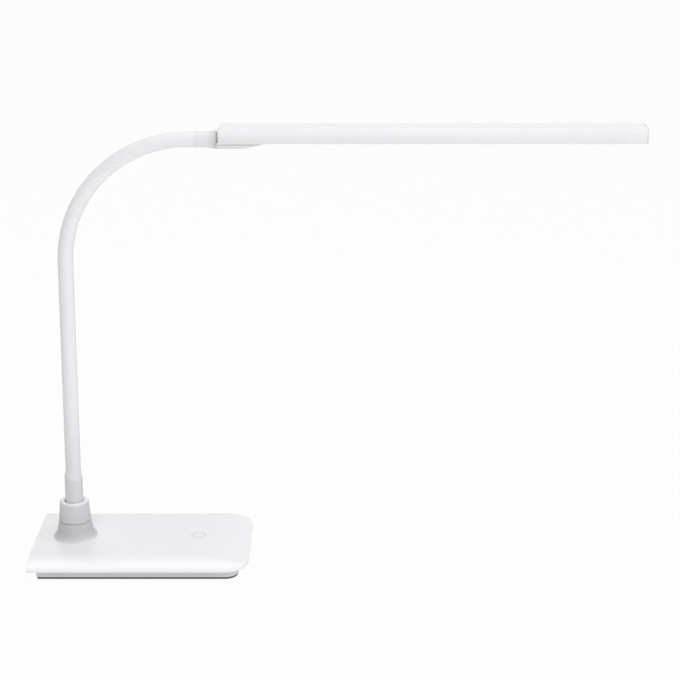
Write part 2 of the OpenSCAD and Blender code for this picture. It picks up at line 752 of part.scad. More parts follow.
module head_bracket() color([0.9, 0.89, 0.91]) {
    tip = bracket_x0 + tongue_len;
    flat_end = bracket_x0 + tongue_flat;
    difference() {
        union() {
            // disc against the neck's end
            on_axis(tongue_r, bar_x0 - bracket_x0);
            // barrel that turns on the journal
            on_axis(barrel_r, barrel_len);
            // tongue below the bar, ramped up to it, with a lip below a shallow groove
            difference() {
                union() {
                    difference() {
                        on_axis(tongue_r, tongue_len);
                        translate([bar_x0 - through, -bar_wid, bar_z0 - tongue_groove])
                            cube([tongue_len + 2 * through, 2 * bar_wid, bar_h]);
                    }
                    on_axis(barrel_r, tongue_len);
                }
                translate([bar_x0 - through, -bar_wid, bar_z0 - 0.05])
                    cube([tongue_len + 2 * through, 2 * bar_wid, bar_h]);
                rotate([90, 0, 0]) linear_extrude(4 * tongue_r, center = true)
                    polygon([[flat_end, bracket_low], [tip, bar_z0 - 0.4], [tip + 10, bar_z0 - 0.4],
                             [tip + 10, bracket_low - 10], [flat_end, bracket_low - 10]]);
            }
            // web that stands up into the bar
            translate([bracket_x0 + barrel_len - 1, -web_half, bar_z0 - 2])
                cube([web_x1 - bracket_x0 - barrel_len + 1, 2 * web_half, web_top - bar_z0 + 2]);
        }
        translate([bracket_x0 - through, 0, axis_z]) rotate([0, 90, 0])
            cylinder(r = roll_bush_r, h = barrel_len + through - 0.6);
        on_axis(journal_r + 0.6, journal_len + 1);
        // room for the journal's clip, and for the lead on its way up
        translate([room_x0, 0, axis_z]) rotate([0, 90, 0]) cylinder(r = room_half, h = room_len);
        translate([room_x0, -room_half, axis_z]) cube([room_len, 2 * room_half, tongue_r]);
        for (x = bracket_screw_x) translate([x, 0, bracket_low - through]) {
            cylinder(r = screw_r + 0.1, h = bar_h + through, $fn = 48);
            cylinder(r = screw_head_r, h = screw_seat(x) - bracket_low + through, $fn = 48);
        }
    }
}

module bracket_screws() color([0.7, 0.71, 0.73]) {
    for (x = bracket_screw_x) translate([x, 0, screw_seat(x)])
        screw(screw_tip_z - screw_seat(x), screw_r - 0.2, screw_head_r - 0.2, 1.6);
}

module bar_housing() color([0.96, 0.95, 0.96]) {
    len = bar_len - 2 * cap_t;
    boss_z = web_top + 0.1;
    difference() {
        union() {
            difference() {
                along_bar(bar_x0 + cap_t, len) bar_section(0);
                along_bar(bar_x0 + cap_t - through, len + 2 * through) bar_section(bar_wall);
            }
            // bosses that take the bracket's screws
            for (x = bracket_screw_x) translate([x, 0, boss_z])
                cylinder(r = bar_boss_r, h = bar_z1 - bar_wall / 2 - boss_z, $fn = 48);
        }
        for (x = bracket_screw_x) translate([x, 0, boss_z - through])
            cylinder(r = screw_r - 0.2, h = screw_tip_z - boss_z + through, $fn = 48);
    }
}

module rear_cover() color([0.94, 0.93, 0.94]) {
    len = cover_x1 - bar_x0 - cap_t;
    difference() {
        along_bar(bar_x0 + cap_t, len) intersection() {
            bar_section(bar_wall);
            translate([-bar_wid, bar_z0]) square([2 * bar_wid, diffuser_t]);
        }
        translate([bar_x0, -barrel_r - 0.2, bar_z0 - through])
            cube([room_x0 + room_len - bar_x0 + 0.3, 2 * barrel_r + 0.4, bar_h]);
        translate([bar_x0, -web_half - 0.2, bar_z0 - through])
            cube([web_x1 - bar_x0 + 0.3, 2 * web_half + 0.4, bar_h]);
    }
}

module near_cap() color([0.95, 0.94, 0.95]) {
    difference() {
        along_bar(bar_x0, cap_t) bar_section(0);
        translate([bar_x0 - through, 0, axis_z]) rotate([0, 90, 0])
            cylinder(r = barrel_r + 0.1, h = cap_t + 2 * through);
        translate([bar_x0 - through, -barrel_r - 0.1, bar_z0 - through])
            cube([cap_t + 2 * through, 2 * barrel_r + 0.2, axis_z - bar_z0 + through]);
    }
}

module far_cap() color([0.95, 0.94, 0.95]) {
    intersection() {
        along_bar(bar_x1 - cap_t, cap_t) bar_section(0);
        translate([bar_x1 - cap_end_r, 0, bar_z0 + bar_h / 2]) rotate([90, 0, 0])
            cylinder(r = cap_end_r, h = 2 * bar_wid, center = true, $fn = 180);
        translate([bar_x1 - cap_plan_r, 0, bar_z0 - through])
            cylinder(r = cap_plan_r, h = bar_h + 2 * through, $fn = 360);
    }
}

module led_board() color([0.97, 0.97, 0.97]) {
    difference() {
        translate([led_board_x0, -led_board_half, led_board_z])
            cube([bar_x1 - cap_t - 2 - led_board_x0, 2 * led_board_half, led_board_t]);
        for (x = bracket_screw_x) translate([x, 0, led_board_z - through])
            cylinder(r = bar_boss_r + 0.3, h = led_board_t + 2 * through, $fn = 48);
    }
}

module leds() color([1, 0.93, 0.6]) {
    for (i = [0:led_count - 1])
        translate([board_x0 + 4 + (i + 0.5) * led_pitch - led_size[0] / 2, -led_size[1] / 2,
                   led_board_z - led_size[2]])
            cube(led_size);
}

module diffuser() color([0.99, 0.99, 0.98]) {
    len = bar_x1 - cap_t - cover_x1;
    // lies between the housing's walls
    along_bar(cover_x1, len) intersection() {
        bar_section(bar_wall);
        translate([-bar_wid, bar_z0]) square([2 * bar_wid, diffuser_t]);
    }
    // shallow crown below the housing's edges
    along_bar(cover_x1, len)
        translate([-bar_wid / 2 + 3, bar_z0 - diffuser_proud]) square([bar_wid - 6, diffuser_t]);
}

base_shell();
base_tray();
foot_pad();
counterweight();
weight_screws();
tray_screws();
control_board();
board_parts();
base_lead();
touch_spring();
power_mark();
dc_jack();
pivot_boot();
boot_screws();
swivel_bush();
thrust_washer();
swivel_post();
stop_washer();
wave_washer();
swivel_nut();
swivel_collar();
neck_ferrule();
neck_sleeve();
neck_lead();
for (k = [1:link_count]) neck_link(k);
neck_end_fitting();
neck_end_boot();
roll_clip();
roll_bush();
head_bracket();
bracket_screws();
bar_housing();
rear_cover();
near_cap();
far_cap();
led_board();
leds();
diffuser();
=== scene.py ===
"""Folding LED desk lamp: the looks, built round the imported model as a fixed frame.

Lengths are in metres, in the frame's own axes: +X along the light bar to its free end, +Z up, and
the lamp's middle plane at Y = 0. Places come from the frame's boxes and joints, and forms from the
sizes below. It is laid out as an add-on and run as a script.
"""

import json
import math

import bmesh
import bpy
from bpy.props import FloatProperty, FloatVectorProperty, PointerProperty
from bpy.types import Operator, Panel, PropertyGroup
from mathutils import Matrix, Vector

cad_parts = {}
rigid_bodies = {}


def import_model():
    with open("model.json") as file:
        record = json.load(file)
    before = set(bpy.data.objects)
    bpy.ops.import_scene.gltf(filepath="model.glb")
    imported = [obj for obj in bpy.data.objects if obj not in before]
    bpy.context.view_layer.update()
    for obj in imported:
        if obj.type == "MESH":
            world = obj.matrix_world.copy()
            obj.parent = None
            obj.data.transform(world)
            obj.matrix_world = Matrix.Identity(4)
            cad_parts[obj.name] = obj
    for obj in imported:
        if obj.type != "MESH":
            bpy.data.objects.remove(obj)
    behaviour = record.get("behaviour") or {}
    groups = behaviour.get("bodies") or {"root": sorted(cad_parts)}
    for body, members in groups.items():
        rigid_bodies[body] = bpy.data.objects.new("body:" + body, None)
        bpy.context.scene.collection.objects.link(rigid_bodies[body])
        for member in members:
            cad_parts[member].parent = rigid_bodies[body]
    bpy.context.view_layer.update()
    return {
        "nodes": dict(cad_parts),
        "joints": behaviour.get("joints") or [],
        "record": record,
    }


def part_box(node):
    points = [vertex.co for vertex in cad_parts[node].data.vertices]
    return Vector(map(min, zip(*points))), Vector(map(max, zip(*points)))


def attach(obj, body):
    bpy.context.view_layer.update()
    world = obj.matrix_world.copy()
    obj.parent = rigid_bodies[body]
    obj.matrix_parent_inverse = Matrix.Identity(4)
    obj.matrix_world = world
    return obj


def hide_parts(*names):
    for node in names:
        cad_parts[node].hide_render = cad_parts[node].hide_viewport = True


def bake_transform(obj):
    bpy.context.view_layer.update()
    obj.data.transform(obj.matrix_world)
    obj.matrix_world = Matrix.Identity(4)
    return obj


bl_info = {
    "name": "Folding Desk Lamp",
    "version": (1, 0, 0),
    "blender": (4, 5, 0),
    "location": "3D View > Sidebar > Lamp",
    "description": "Builds the finished surfaces of a folding LED desk lamp round its frame",
    "category": "Add Mesh",
}

MM = 0.001
UP = Vector((0, 0, 1))
FINISH_NAME = "lamp_%s"  # the frame's own flat materials have the bare names
CREASE = math.radians(38)  # a sharper edge is shaded as an edge
COLLAR_BORE = 6.05 * MM  # radius of the collar's bore round the post
WIDEST = 0.43  # how far up its height the bar's sides bulge most
COVER_SLOT_END = 3.7 * MM  # how far short of the bracket's tip the cover's slot ends

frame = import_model()
JOINTS = {joint["name"]: joint for joint in frame["joints"]}
SWIVEL = Vector(JOINTS["arm_swivel"]["pos_m"])
ROLL = Vector(JOINTS["head_roll"]["pos_m"])


# ---- sizes and colours that a user would change ----


def length(label, about, value):
    """A size in metres, given in millimetres."""
    return FloatProperty(name=label, description=about, default=value * MM, min=0, unit="LENGTH")


def colour(label, about, value):
    """A colour, given as three numbers from 0 to 1 in linear light."""
    return FloatVectorProperty(name=label, description=about, default=value, min=0, max=1, size=3,
                               subtype="COLOR")


class LampBaseSizes(PropertyGroup):
    corner: length("Corner", "Radius of the two front corners in plan", 25)
    reach: length("Edge reach", "How far the rounded edge reaches in from the rim", 21.8)
    tight: length("Edge radius", "Radius of the tight part of the rounded edge", 5)
    band: length("Rim band", "Height of the upright band at the rim", 0.9)
    wall: length("Wall", "Thickness of the moulded shell", 2.2)
    nose: length("Nose radius", "Radius of the slope that ends the top face in front", 180)
    nose_start: length("Nose start", "Where that slope starts, from the middle of the base", 60)
    plinth: length("Plinth", "How far the plinth stands out past the rubber foot", 0.7)
    plinth_corner: length("Plinth corner", "Radius of the plinth's front corners", 12.7)
    tray_wall: length("Tray wall", "Thickness of the tray's walls and floor", 2.0)
    inlet: length("Inlet", "Radius of the hole for the power inlet", 3.4)
    mark: length("Mark", "Radius of the touch mark's ring", 6.4)
    mark_line: length("Mark line", "Width of the touch mark's line", 0.9)


class LampSwivelSizes(PropertyGroup):
    seam: length("Seam radius", "Radius of the boot and the collar where they meet", 15.8)
    waist: length("Waist radius", "Radius of the boot where its flare starts", 17.3)
    waist_height: length("Waist height", "Height of the place where the flare starts", 28.5)
    flare: length("Flare radius", "Radius of the hollow curve of the boot's flare", 14)
    foot: length("Foot radius", "Radius of the boot's foot", 21.8)
    bore: length("Bush bore", "Radius of the boot's bore round the bush", 8.05)
    top: length("Collar top radius", "Radius of the collar at its top", 14.2)
    hole: length("Collar hole", "Radius of the hole that the neck stands in", 9.3)
    shelf: length("Collar shelf", "Height of the shelf in the collar above the seam", 3)
    round: length("Collar round", "Radius of the collar's outer top edge", 2.4)
    lip: length("Collar lip", "Radius of the collar's inner top edge", 1.0)


class LampNeckSizes(PropertyGroup):
    ferrule: length("Ferrule", "Radius of the ferrule and the sleeve's cuff", 8.8)
    raised: length("Ferrule top", "How far the ferrule stands up past the frame's", 2)
    cuff: length("Cuff", "Length over which the sleeve narrows above the ferrule", 8.5)
    foot: length("Sleeve foot", "Sleeve radius above the cuff", 7.5)
    middle: length("Sleeve middle", "Sleeve radius at the top of the straight stem", 7.4)
    end: length("Sleeve end", "Sleeve radius at the end of the bend", 7.2)
    bore: length("Sleeve bore", "Inner radius of the sleeve", 6.45)
    level: length("Level part", "Length of the sleeve past the last joint", 6.2)
    boot: length("Boot gain", "How much the end boot widens towards the bar", 1.35)
    core: length("Core", "Radius of the wound core inside the sleeve", 6.25)


class LampBarSizes(PropertyGroup):
    side: length("Side radius", "Radius of the bar's bulging sides", 24.4)
    wall: length("Wall", "Wall of the bar's housing", 1.6)
    edge: length("Edge", "Radius of the bar's long top edges", 0.55)
    end_side: length("End, from the side", "Radius of the free end's curve seen from the side", 15)
    end_plan: length("End, from above", "Radius of the free end's curve seen from above", 70)
    near_edge: length("Near end's edge", "Radius of the outer edges of the cap at the neck", 1.3)
    seam: length("Seam", "Radius of the edges at the seams between the bar's mouldings", 0.2)
    slot: length("Cap slot", "Width of the slot between the housing and the free end's cap", 0.5)
    slot_depth: length("Cap slot depth", "Depth of that slot", 0.8)
    seam_shift: length("Bracket seam", "How far the seam at the neck lies past the frame's", 1.1)
    disc: length("Disc", "Radius of the bracket's tongue", 8.8)
    neck: length("Bracket neck", "Radius of the bracket in the gap at the bar's end", 7.0)
    groove: length("Groove", "Height of the groove between the bar and the tongue's lip", 2.6)
    flat: length("Tongue flat", "Length of the tongue before its ramp", 23.2)
    barrel: length("Barrel", "Radius of the bracket's barrel, and of the groove", 8.2)
    barrel_length: length("Barrel length", "Length of the barrel from the bracket's face", 16)
    bush: length("Bush", "Radius of the bore round the bush", 6.4)
    lens: length("Lens", "Thickness of the diffuser", 1.6)
    crown: length("Crown", "How far the diffuser's crown stands below the housing", 0.35)


class LampColours(PropertyGroup):
    shell: colour("Shell", "Glossy moulded shell of the base", (0.87, 0.86, 0.88))
    # the bar's colour shows in full only on the rim at the neck, a painted highlight; the rest of
    # the bar is painted darker
    bar: colour("Bar", "Rim of the light bar, whose faces are a shade darker", (0.90, 0.89, 0.91))
    trim: colour("Trim", "Cover under the bar's rear end", (0.82, 0.81, 0.83))
    sleeve: colour("Sleeve", "Silicone skin of the neck", (0.85, 0.84, 0.86))
    end_boot: colour("End boot", "Boot and bracket at the bar", (0.82, 0.81, 0.83))
    # the boot's colour shows in full only on the collar's top and nearly so at the boot's foot;
    # painted shade darkens the walls between
    boot: colour("Boot", "Rims of the pivot boot and the collar", (0.84, 0.83, 0.85))
    ferrule: colour("Ferrule", "Ferrule at the neck's foot", (0.69, 0.68, 0.70))
    plinth: colour("Plinth", "Plinth under the shell", (0.68, 0.67, 0.69))
    foot: colour("Foot", "Rubber foot", (0.065, 0.065, 0.07))
    mark: colour("Mark", "Printed touch mark", (0.50, 0.49, 0.51))
    lens: colour("Lens", "Opal diffuser", (0.88, 0.88, 0.87))


def power(label, about, value):
    """A lamp's power in watts."""
    return FloatProperty(name=label, description=about, default=value, min=0, unit="POWER")


class LampStage(PropertyGroup):
    distance: length("Distance", "How far in front of the lamp the camera stands", 1540.6)
    height: length("Height", "Height of the camera above the table", 710.4)
    aside: length("Aside", "How far the camera stands towards the free end", 196.8)
    pitch: FloatProperty(name="Pitch", description="How far the camera looks down",
                         default=math.radians(17.49), subtype="ANGLE")
    lens: FloatProperty(name="Lens", description="Focal length of the camera", default=88.37,
                        min=1, unit="CAMERA")
    top: power("Top light", "Power of the large light overhead", 125)
    high: power("High light", "Power of the light high up in front", 12.9)
    front: power("Front light", "Power of the light low down in front", 16.1)
    right: power("Right light", "Power of the light past the free end", 5.9)
    back: power("Back light", "Power of the light behind the lamp", 2.0)
    ambient: FloatProperty(name="Ambient", description="Strength of the light from all round",
                           default=0.257, min=0)


SETTINGS = {"lamp_base": LampBaseSizes, "lamp_swivel": LampSwivelSizes, "lamp_neck": LampNeckSizes,
            "lamp_bar": LampBarSizes, "lamp_colours": LampColours, "lamp_stage": LampStage}


# ---- outlines ----


def arc(centre, radius, start, end, steps):
    """Points of an arc, ends included. Angles in degrees."""
    angles = [math.radians(start + (end - start) * n / steps) for n in range(steps + 1)]
    return [(centre[0] + radius * math.cos(a), centre[1] + radius * math.sin(a)) for a in angles]


def rounded(corners, steps=5):
    """A closed outline through corners (x, y, radius), each rounded with its radius."""
    points = []
    for n, (x, y, radius) in enumerate(corners):
        corner = Vector((x, y))
        if radius == 0:
            points.append(corner)
            continue
        before = (Vector(corners[n - 1][:2]) - corner).normalized()
        after = (Vector(corners[(n + 1) % len(corners)][:2]) - corner).normalized()
        half = before.angle(after) / 2
        centre = corner + (before + after).normalized() * radius / math.sin(half)
        first = corner + before * radius / math.tan(half) - centre
        last = corner + after * radius / math.tan(half) - centre
        points += [centre + radius * first.slerp(last, step / steps) for step in range(steps + 1)]
    return points


# ---- mesh steps ----


def kind_of(geometry, kind):
    """The items of one kind in what a mesh operator gives back."""
    return [item for item in geometry if isinstance(item, kind)]


def chain(bm, points, closed=False):
    """Edges through points, in their order."""
    verts = [bm.verts.new(point) for point in points]
    follow = verts[1:] + verts[:1] if closed else verts[1:]
    return [bm.edges.new(pair) for pair in zip(verts, follow)]


def push(bm, edges, vector):
    """Extrudes edges along a vector, and gives back the far edges."""
    made = bmesh.ops.extrude_edge_only(bm, edges=edges)["geom"]
    bmesh.ops.translate(bm, verts=kind_of(made, bmesh.types.BMVert), vec=vector)
    return kind_of(made, bmesh.types.BMEdge)


def turn(bm, edges, centre, axis, angle, steps):
    """Spins edges about an axis, and gives back the far edges."""
    made = bmesh.ops.spin(bm, geom=edges, cent=centre, axis=axis, angle=angle, steps=steps)
    return kind_of(made["geom_last"], bmesh.types.BMEdge)


def face_outwards(bm):
    """Merges doubled points and turns every face to the outside."""
    bmesh.ops.remove_doubles(bm, verts=bm.verts, dist=1e-7)
    bmesh.ops.recalc_face_normals(bm, faces=bm.faces)


def lathe(profile, place, steps=96):
    """A closed shape from a closed outline of (radius, height) points, turned about place's Z."""
    bm = bmesh.new()
    edges = chain(bm, [(radius, 0, height) for radius, height in profile], closed=True)
    bmesh.ops.spin(bm, geom=edges, cent=(0, 0, 0), axis=UP, angle=math.tau, steps=steps,
                   use_merge=True)
    bmesh.ops.transform(bm, matrix=place, verts=bm.verts)
    face_outwards(bm)
    return bm


def prism(points, vector):
    """A closed prism whose foot is the outline through points."""
    bm = bmesh.new()
    foot = bmesh.ops.edgeloop_fill(bm, edges=chain(bm, points, closed=True))["faces"]
    made = bmesh.ops.extrude_face_region(bm, geom=foot, use_keep_orig=True)["geom"]
    bmesh.ops.translate(bm, verts=kind_of(made, bmesh.types.BMVert), vec=vector)
    face_outwards(bm)
    return bm


def soften(bm, radius, segments=3, sharper=50, where=None):
    """Rounds the outer edges that are sharper than an angle in degrees."""
    edges = [edge for edge in bm.edges
             if edge.is_manifold and edge.is_convex
             and edge.calc_face_angle() > math.radians(sharper) and (not where or where(edge))]
    bmesh.ops.bevel(bm, geom=edges, offset=radius, offset_type="OFFSET", segments=segments,
                    profile=0.5, affect="EDGES", material=-1, clamp_overlap=True)


def between(axis, low=-math.inf, high=math.inf):
    """A test of whether both ends of an edge lie between two places along an axis."""
    return lambda edge: all(low < vert.co[axis] < high for vert in edge.verts)


def along_bar(outline, x):
    """An outline of (across, up) points, set square to the light bar at x."""
    return [(x, across, up) for across, up in outline]


def plan(outline, z):
    """An outline of (x, y) points, laid level at height z."""
    return [(x, y, z) for x, y in outline]


def finish_piece(name, bm, slot, nodes, body=None, finish=None):
    """Makes an object of a mesh, with its finish, its body and the nodes that it stands for.

    The finish is the slot's own, unless another is named.
    """
    for face in bm.faces:
        face.smooth = True
    for edge in bm.edges:
        edge.smooth = edge.is_manifold and edge.calc_face_angle() < CREASE
    mesh = bpy.data.meshes.new(name)
    bm.to_mesh(mesh)
    bm.free()
    mesh.materials.append(bpy.data.materials[FINISH_NAME % (finish or slot)])
    piece = bpy.data.objects.new(name, mesh)
    bpy.context.scene.collection.objects.link(piece)
    normals = piece.modifiers.new("Weighted normals", "WEIGHTED_NORMAL")
    normals.keep_sharp = True
    if body:
        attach(piece, body)
    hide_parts(*nodes)
    return piece


def rod(radius, start, axis, length, segments=64):
    """A closed round bar from a point along an axis."""
    bm = bmesh.new()
    axis = Vector(axis)
    turned = axis.to_track_quat("Z", "Y").to_matrix().to_4x4()
    bmesh.ops.create_cone(bm, cap_ends=True, segments=segments, radius1=radius, radius2=radius,
                          depth=length,
                          matrix=Matrix.Translation(Vector(start) + axis * length / 2) @ turned)
    return bm


def boolean(bm, other, operation):
    """Joins, cuts or crosses two closed shapes, by way of two objects that are removed again."""
    objects = []
    for name, shape in (("shape", bm), ("tool", other)):
        mesh = bpy.data.meshes.new(name)
        shape.to_mesh(mesh)
        shape.free()
        objects.append(bpy.data.objects.new(name, mesh))
        bpy.context.scene.collection.objects.link(objects[-1])
    modifier = objects[0].modifiers.new("Boolean", "BOOLEAN")
    modifier.object = objects[1]
    modifier.operation = operation
    modifier.solver = "EXACT"
    result = bmesh.new()
    result.from_object(objects[0], bpy.context.evaluated_depsgraph_get())
    for item in objects:
        bpy.data.objects.remove(item)
    return result


# ---- materials ----


class Wire:
    """A socket in a material. Arithmetic on it adds Math nodes."""

    def __init__(self, finish, socket):
        self.finish = finish
        self.socket = socket

    def _math(self, operation, first, second):
        return self.finish.node("ShaderNodeMath", {"operation": operation}, {0: first, 1: second})

    def __add__(self, other):
        return self._math("ADD", self, other)

    def __sub__(self, other):
        return self._math("SUBTRACT", self, other)

    def __rsub__(self, other):
        return self._math("SUBTRACT", other, self)

    def __mul__(self, other):
        return self._math("MULTIPLY", self, other)

    __radd__ = __add__
    __rmul__ = __mul__


class Finish:
    """A material under construction, round its Principled shader."""

    def __init__(self, name):
        self.material = bpy.data.materials.new(FINISH_NAME % name)
        self.material.use_nodes = True
        self.tree = self.material.node_tree
        self.shader = self.tree.nodes["Principled BSDF"]
        self.place = self.node("ShaderNodeTexCoord", output="Object")

    def node(self, kind, settings=None, sockets=None, output=0):
        """Adds a node: its settings first, then the values or links of its sockets."""
        made = self.tree.nodes.new(kind)
        for name, value in (settings or {}).items():
            if name == "stops":
                self.set_stops(made.color_ramp, value)
            else:
                setattr(made, name, value)
        for key, value in (sockets or {}).items():
            self.feed(made.inputs[key], value)
        return Wire(self, made.outputs[output])

    def set_stops(self, ramp, stops):
        """Gives a ramp its stops, each a place and a grey value."""
        while len(ramp.elements) < len(stops):
            ramp.elements.new(1)
        for element, (place, grey) in zip(ramp.elements, stops):
            element.position = place
            element.color = (grey, grey, grey, 1)

    def feed(self, socket, value):
        """Links a wire to a socket, or sets the socket's own value."""
        if isinstance(value, Wire):
            self.tree.links.new(value.socket, socket)
        else:
            socket.default_value = value

    def set(self, **values):
        """Sets constants on the shader's own sockets, such as coat_roughness=0.2."""
        for name, value in values.items():
            label = name.replace("_", " ").title().replace("Ior", "IOR")
            self.shader.inputs[label].default_value = value
        return self

    def noise(self, size, detail=2, stretch=None):
        """Noise from 0 to 1 whose features are about size metres wide."""
        where = self.place
        if stretch:
            where = self.node("ShaderNodeMapping", sockets={"Vector": where, "Scale": stretch},
                              output="Vector")
        return self.node("ShaderNodeTexNoise",
                         sockets={"Vector": where, "Scale": 1 / size, "Detail": detail})

    def part(self, axis):
        """One part of the place, 0 for X to 2 for Z."""
        return self.node("ShaderNodeSeparateXYZ", sockets={0: self.place}, output=axis)

    def off_axis(self, centre):
        """The distance from a line along X through a centre."""
        across, up = self.part(1), self.part(2) - centre.z
        return self.node("ShaderNodeMath", {"operation": "SQRT"}, {0: across * across + up * up})

    def graded(self, where, stops):
        """A value that follows stops, each a distance in metres and a value."""
        low, high = stops[0][0], stops[-1][0]
        places = [((place - low) / (high - low), value) for place, value in stops]
        return self.node("ShaderNodeValToRGB", {"stops": places},
                         {"Fac": (where - low) * (1 / (high - low))}, output=0)

    def tone(self, colour, mask, share):
        """The colour, darker by a share where the mask is 1."""
        full = (*colour, 1)
        dark = tuple(part * (1 - share) for part in colour) + (1,)
        mixed = self.node("ShaderNodeMix", {"data_type": "RGBA"},
                          {"Factor": mask, 6: full, 7: dark}, output=2)
        self.feed(self.shader.inputs["Base Color"], mixed)
        return self

    def rough(self, base, mask, span):
        """Roughness that varies by span either way of its base value."""
        self.feed(self.shader.inputs["Roughness"], (mask - 0.5) * (2 * span) + base)
        return self

    def bump(self, height, depth):
        """A relief whose full height is depth metres."""
        normal = self.node("ShaderNodeBump", sockets={"Height": height, "Distance": depth,
                                                      "Strength": 1.0}, output="Normal")
        self.feed(self.shader.inputs["Normal"], normal)
        return self


# how much darker a finish is painted at places along its piece, in metres: painted shade, and on
# the bar a painted highlight at its rim
# painted shade on the boot and the collar, by height: darkest on the walls, palest on the up-facing
# foot and top
BOOT_PAINTED_SHADE = ((0.0197, 0.08), (0.0205, 0.10), (0.021, 0.20), (0.0222, 0.29), (0.0245, 0.34),
             (0.0285, 0.355), (0.036, 0.34), (0.0374, 0.30), (0.046, 0.265), (0.054, 0.24),
             (0.0566, 0.22), (0.0576, 0))
# painted shade on the sleeve, by height: darker towards the foot of the stem
SLEEVE_PAINTED_SHADE = ((0.079, 0.13), (0.09, 0.11), (0.105, 0.085), (0.125, 0.05), (0.150, 0.015),
               (0.17, 0))
# painted shade on the end boot along X, darkest where the bar's end stands over it
END_PAINTED_SHADE = ((0.0725, 0), (0.0748, 0.037), (0.0767, 0.09), (0.0776, 0.113), (0.0785, 0.157),
            (0.0795, 0.21), (0.0804, 0.24), (0.0815, 0.24))
# painted highlight on the rim of the bar's end at the neck, along X: the rest of the bar is darker
BAR_PAINTED_HIGHLIGHT = ((0.0836, 0), (0.0846, 0), (0.0852, 0.09), (0.0862, 0.09))
# painted shade on the bracket's neck in the gap at the bar's end, by distance from the roll axis
GAP_PAINTED_SHADE = ((0.0065, 0.45), (0.0075, 0.45), (0.0078, 0), (0.009, 0))


def gloss_moulding(name, colour, roughness=0.24, painted_light_and_shade=None):
    """Glossy moulded plastic: faint flow marks, patches polished by handling and a very slight
    orange peel.
    """
    finish = Finish(name)
    flow = finish.noise(60 * MM, 3)
    # here only patches polished by handling, with no painted shade
    handling_and_painted_shade = finish.noise(22 * MM, 4)
    peel = finish.noise(2.6 * MM, 2)
    dark = flow * 0.014 + handling_and_painted_shade * 0.006
    # the last argument, where given, adds painted shade and painted highlight to the colour
    finish.tone(colour, painted_light_and_shade(finish) + dark if painted_light_and_shade else dark, 1)
    finish.rough(roughness, handling_and_painted_shade, 0.05)
    finish.bump(peel, 0.004 * MM)
    finish.set(ior=1.48)
    return finish.material


def satin_moulding(name, colour, roughness, painted_light_and_shade=None):
    """Spark-eroded moulded plastic: an even fine grain that is polished a little by hands.

    The last argument is a function that gives painted shade and painted highlight: how much darker
    than its colour the plastic is painted at a place.
    """
    finish = Finish(name)
    worn = finish.noise(18 * MM, 4)
    pits = finish.noise(0.35 * MM, 3)
    dark = worn * 0.027 + pits * 0.018
    # the last argument, where given, adds painted shade and painted highlight to the colour
    finish.tone(colour, painted_light_and_shade(finish) + dark if painted_light_and_shade else dark, 1)
    finish.rough(roughness, worn * 0.5 + pits * 0.5, 0.08)
    finish.bump(pits, 0.012 * MM)
    finish.set(ior=1.46)
    return finish.material


def boot_painted_shade(finish):
    """Painted shade: the boot and collar are painted darker on their walls and palest where they
    face up, at the foot and on top.
    """
    return finish.graded(finish.part(2), BOOT_PAINTED_SHADE)


def end_painted_shade(finish):
    """Painted shade: the end boot is painted darker where the bar's end stands over it."""
    return finish.graded(finish.part(0), END_PAINTED_SHADE)


def bar_painted_highlight(finish):
    """Painted highlight: the bar is painted palest on the rounded rim of its end at the neck, and a
    share darker elsewhere.
    """
    return finish.graded(finish.part(0), BAR_PAINTED_HIGHLIGHT)


def gap_painted_shade(finish):
    """Painted shade: the bracket is painted darker in the gap at the bar's end."""
    return finish.graded(finish.off_axis(ROLL), GAP_PAINTED_SHADE)


def silicone_skin(name, colour):
    """Matte silicone: a powdery surface with a faint mottle and specks of dust, with painted shade
    that darkens it towards the foot of the stem.
    """
    finish = Finish(name)
    mottle = finish.noise(9 * MM, 4)
    powder = finish.noise(0.5 * MM, 2)
    dust = finish.node("ShaderNodeValToRGB", {"stops": [(0.70, 0), (0.76, 1)]},
                       {"Fac": finish.noise(1.1 * MM, 1)}, output=0)
    # painted shade: the sleeve is painted darker towards its foot
    handling_and_painted_shade = finish.graded(finish.part(2), SLEEVE_PAINTED_SHADE)
    finish.tone(colour, handling_and_painted_shade + mottle * 0.028 + dust * 0.007, 1).rough(0.62, mottle, 0.07)
    finish.bump(powder, 0.008 * MM)
    finish.set(ior=1.41, sheen_weight=0.06, sheen_roughness=0.5)
    return finish.material


def foot_rubber(name, colour):
    """Dense black rubber: a dull, slightly chalky skin with a coarse grain."""
    finish = Finish(name)
    chalk = finish.noise(7 * MM, 5)
    grain = finish.noise(0.6 * MM, 3)
    finish.tone(colour, 1 - chalk, 0.25).rough(0.78, chalk, 0.1).bump(grain, 0.03 * MM)
    return finish.material


def printed_mark(name, colour):
    """Pad-printed ink: thin and even, with a grain of pinholes."""
    finish = Finish(name)
    pinholes = finish.noise(0.25 * MM, 2)
    finish.tone(colour, pinholes, 0.06).rough(0.45, pinholes, 0.08).bump(pinholes, 0.002 * MM)
    return finish.material


def opal_lens(name, colour):
    """Opal acrylic: a satin skin over an even milky body."""
    finish = Finish(name)
    milk = finish.noise(30 * MM, 3)
    skin = finish.noise(0.4 * MM, 2)
    finish.tone(colour, milk, 0.02).rough(0.36, skin, 0.05).bump(skin, 0.004 * MM)
    finish.set(ior=1.49)
    return finish.material


def metal(name, colour, roughness, stretch, size, depth):
    """Bare or plated metal, with drawn marks stretched along one way."""
    finish = Finish(name)
    marks = finish.noise(size, 3, stretch)
    patches = finish.noise(12 * MM, 4)
    finish.tone(colour, patches * 0.7 + marks * 0.3, 0.1)
    finish.rough(roughness, marks * 0.6 + patches * 0.4, 0.1).bump(marks, depth)
    finish.set(metallic=1.0)
    return finish.material


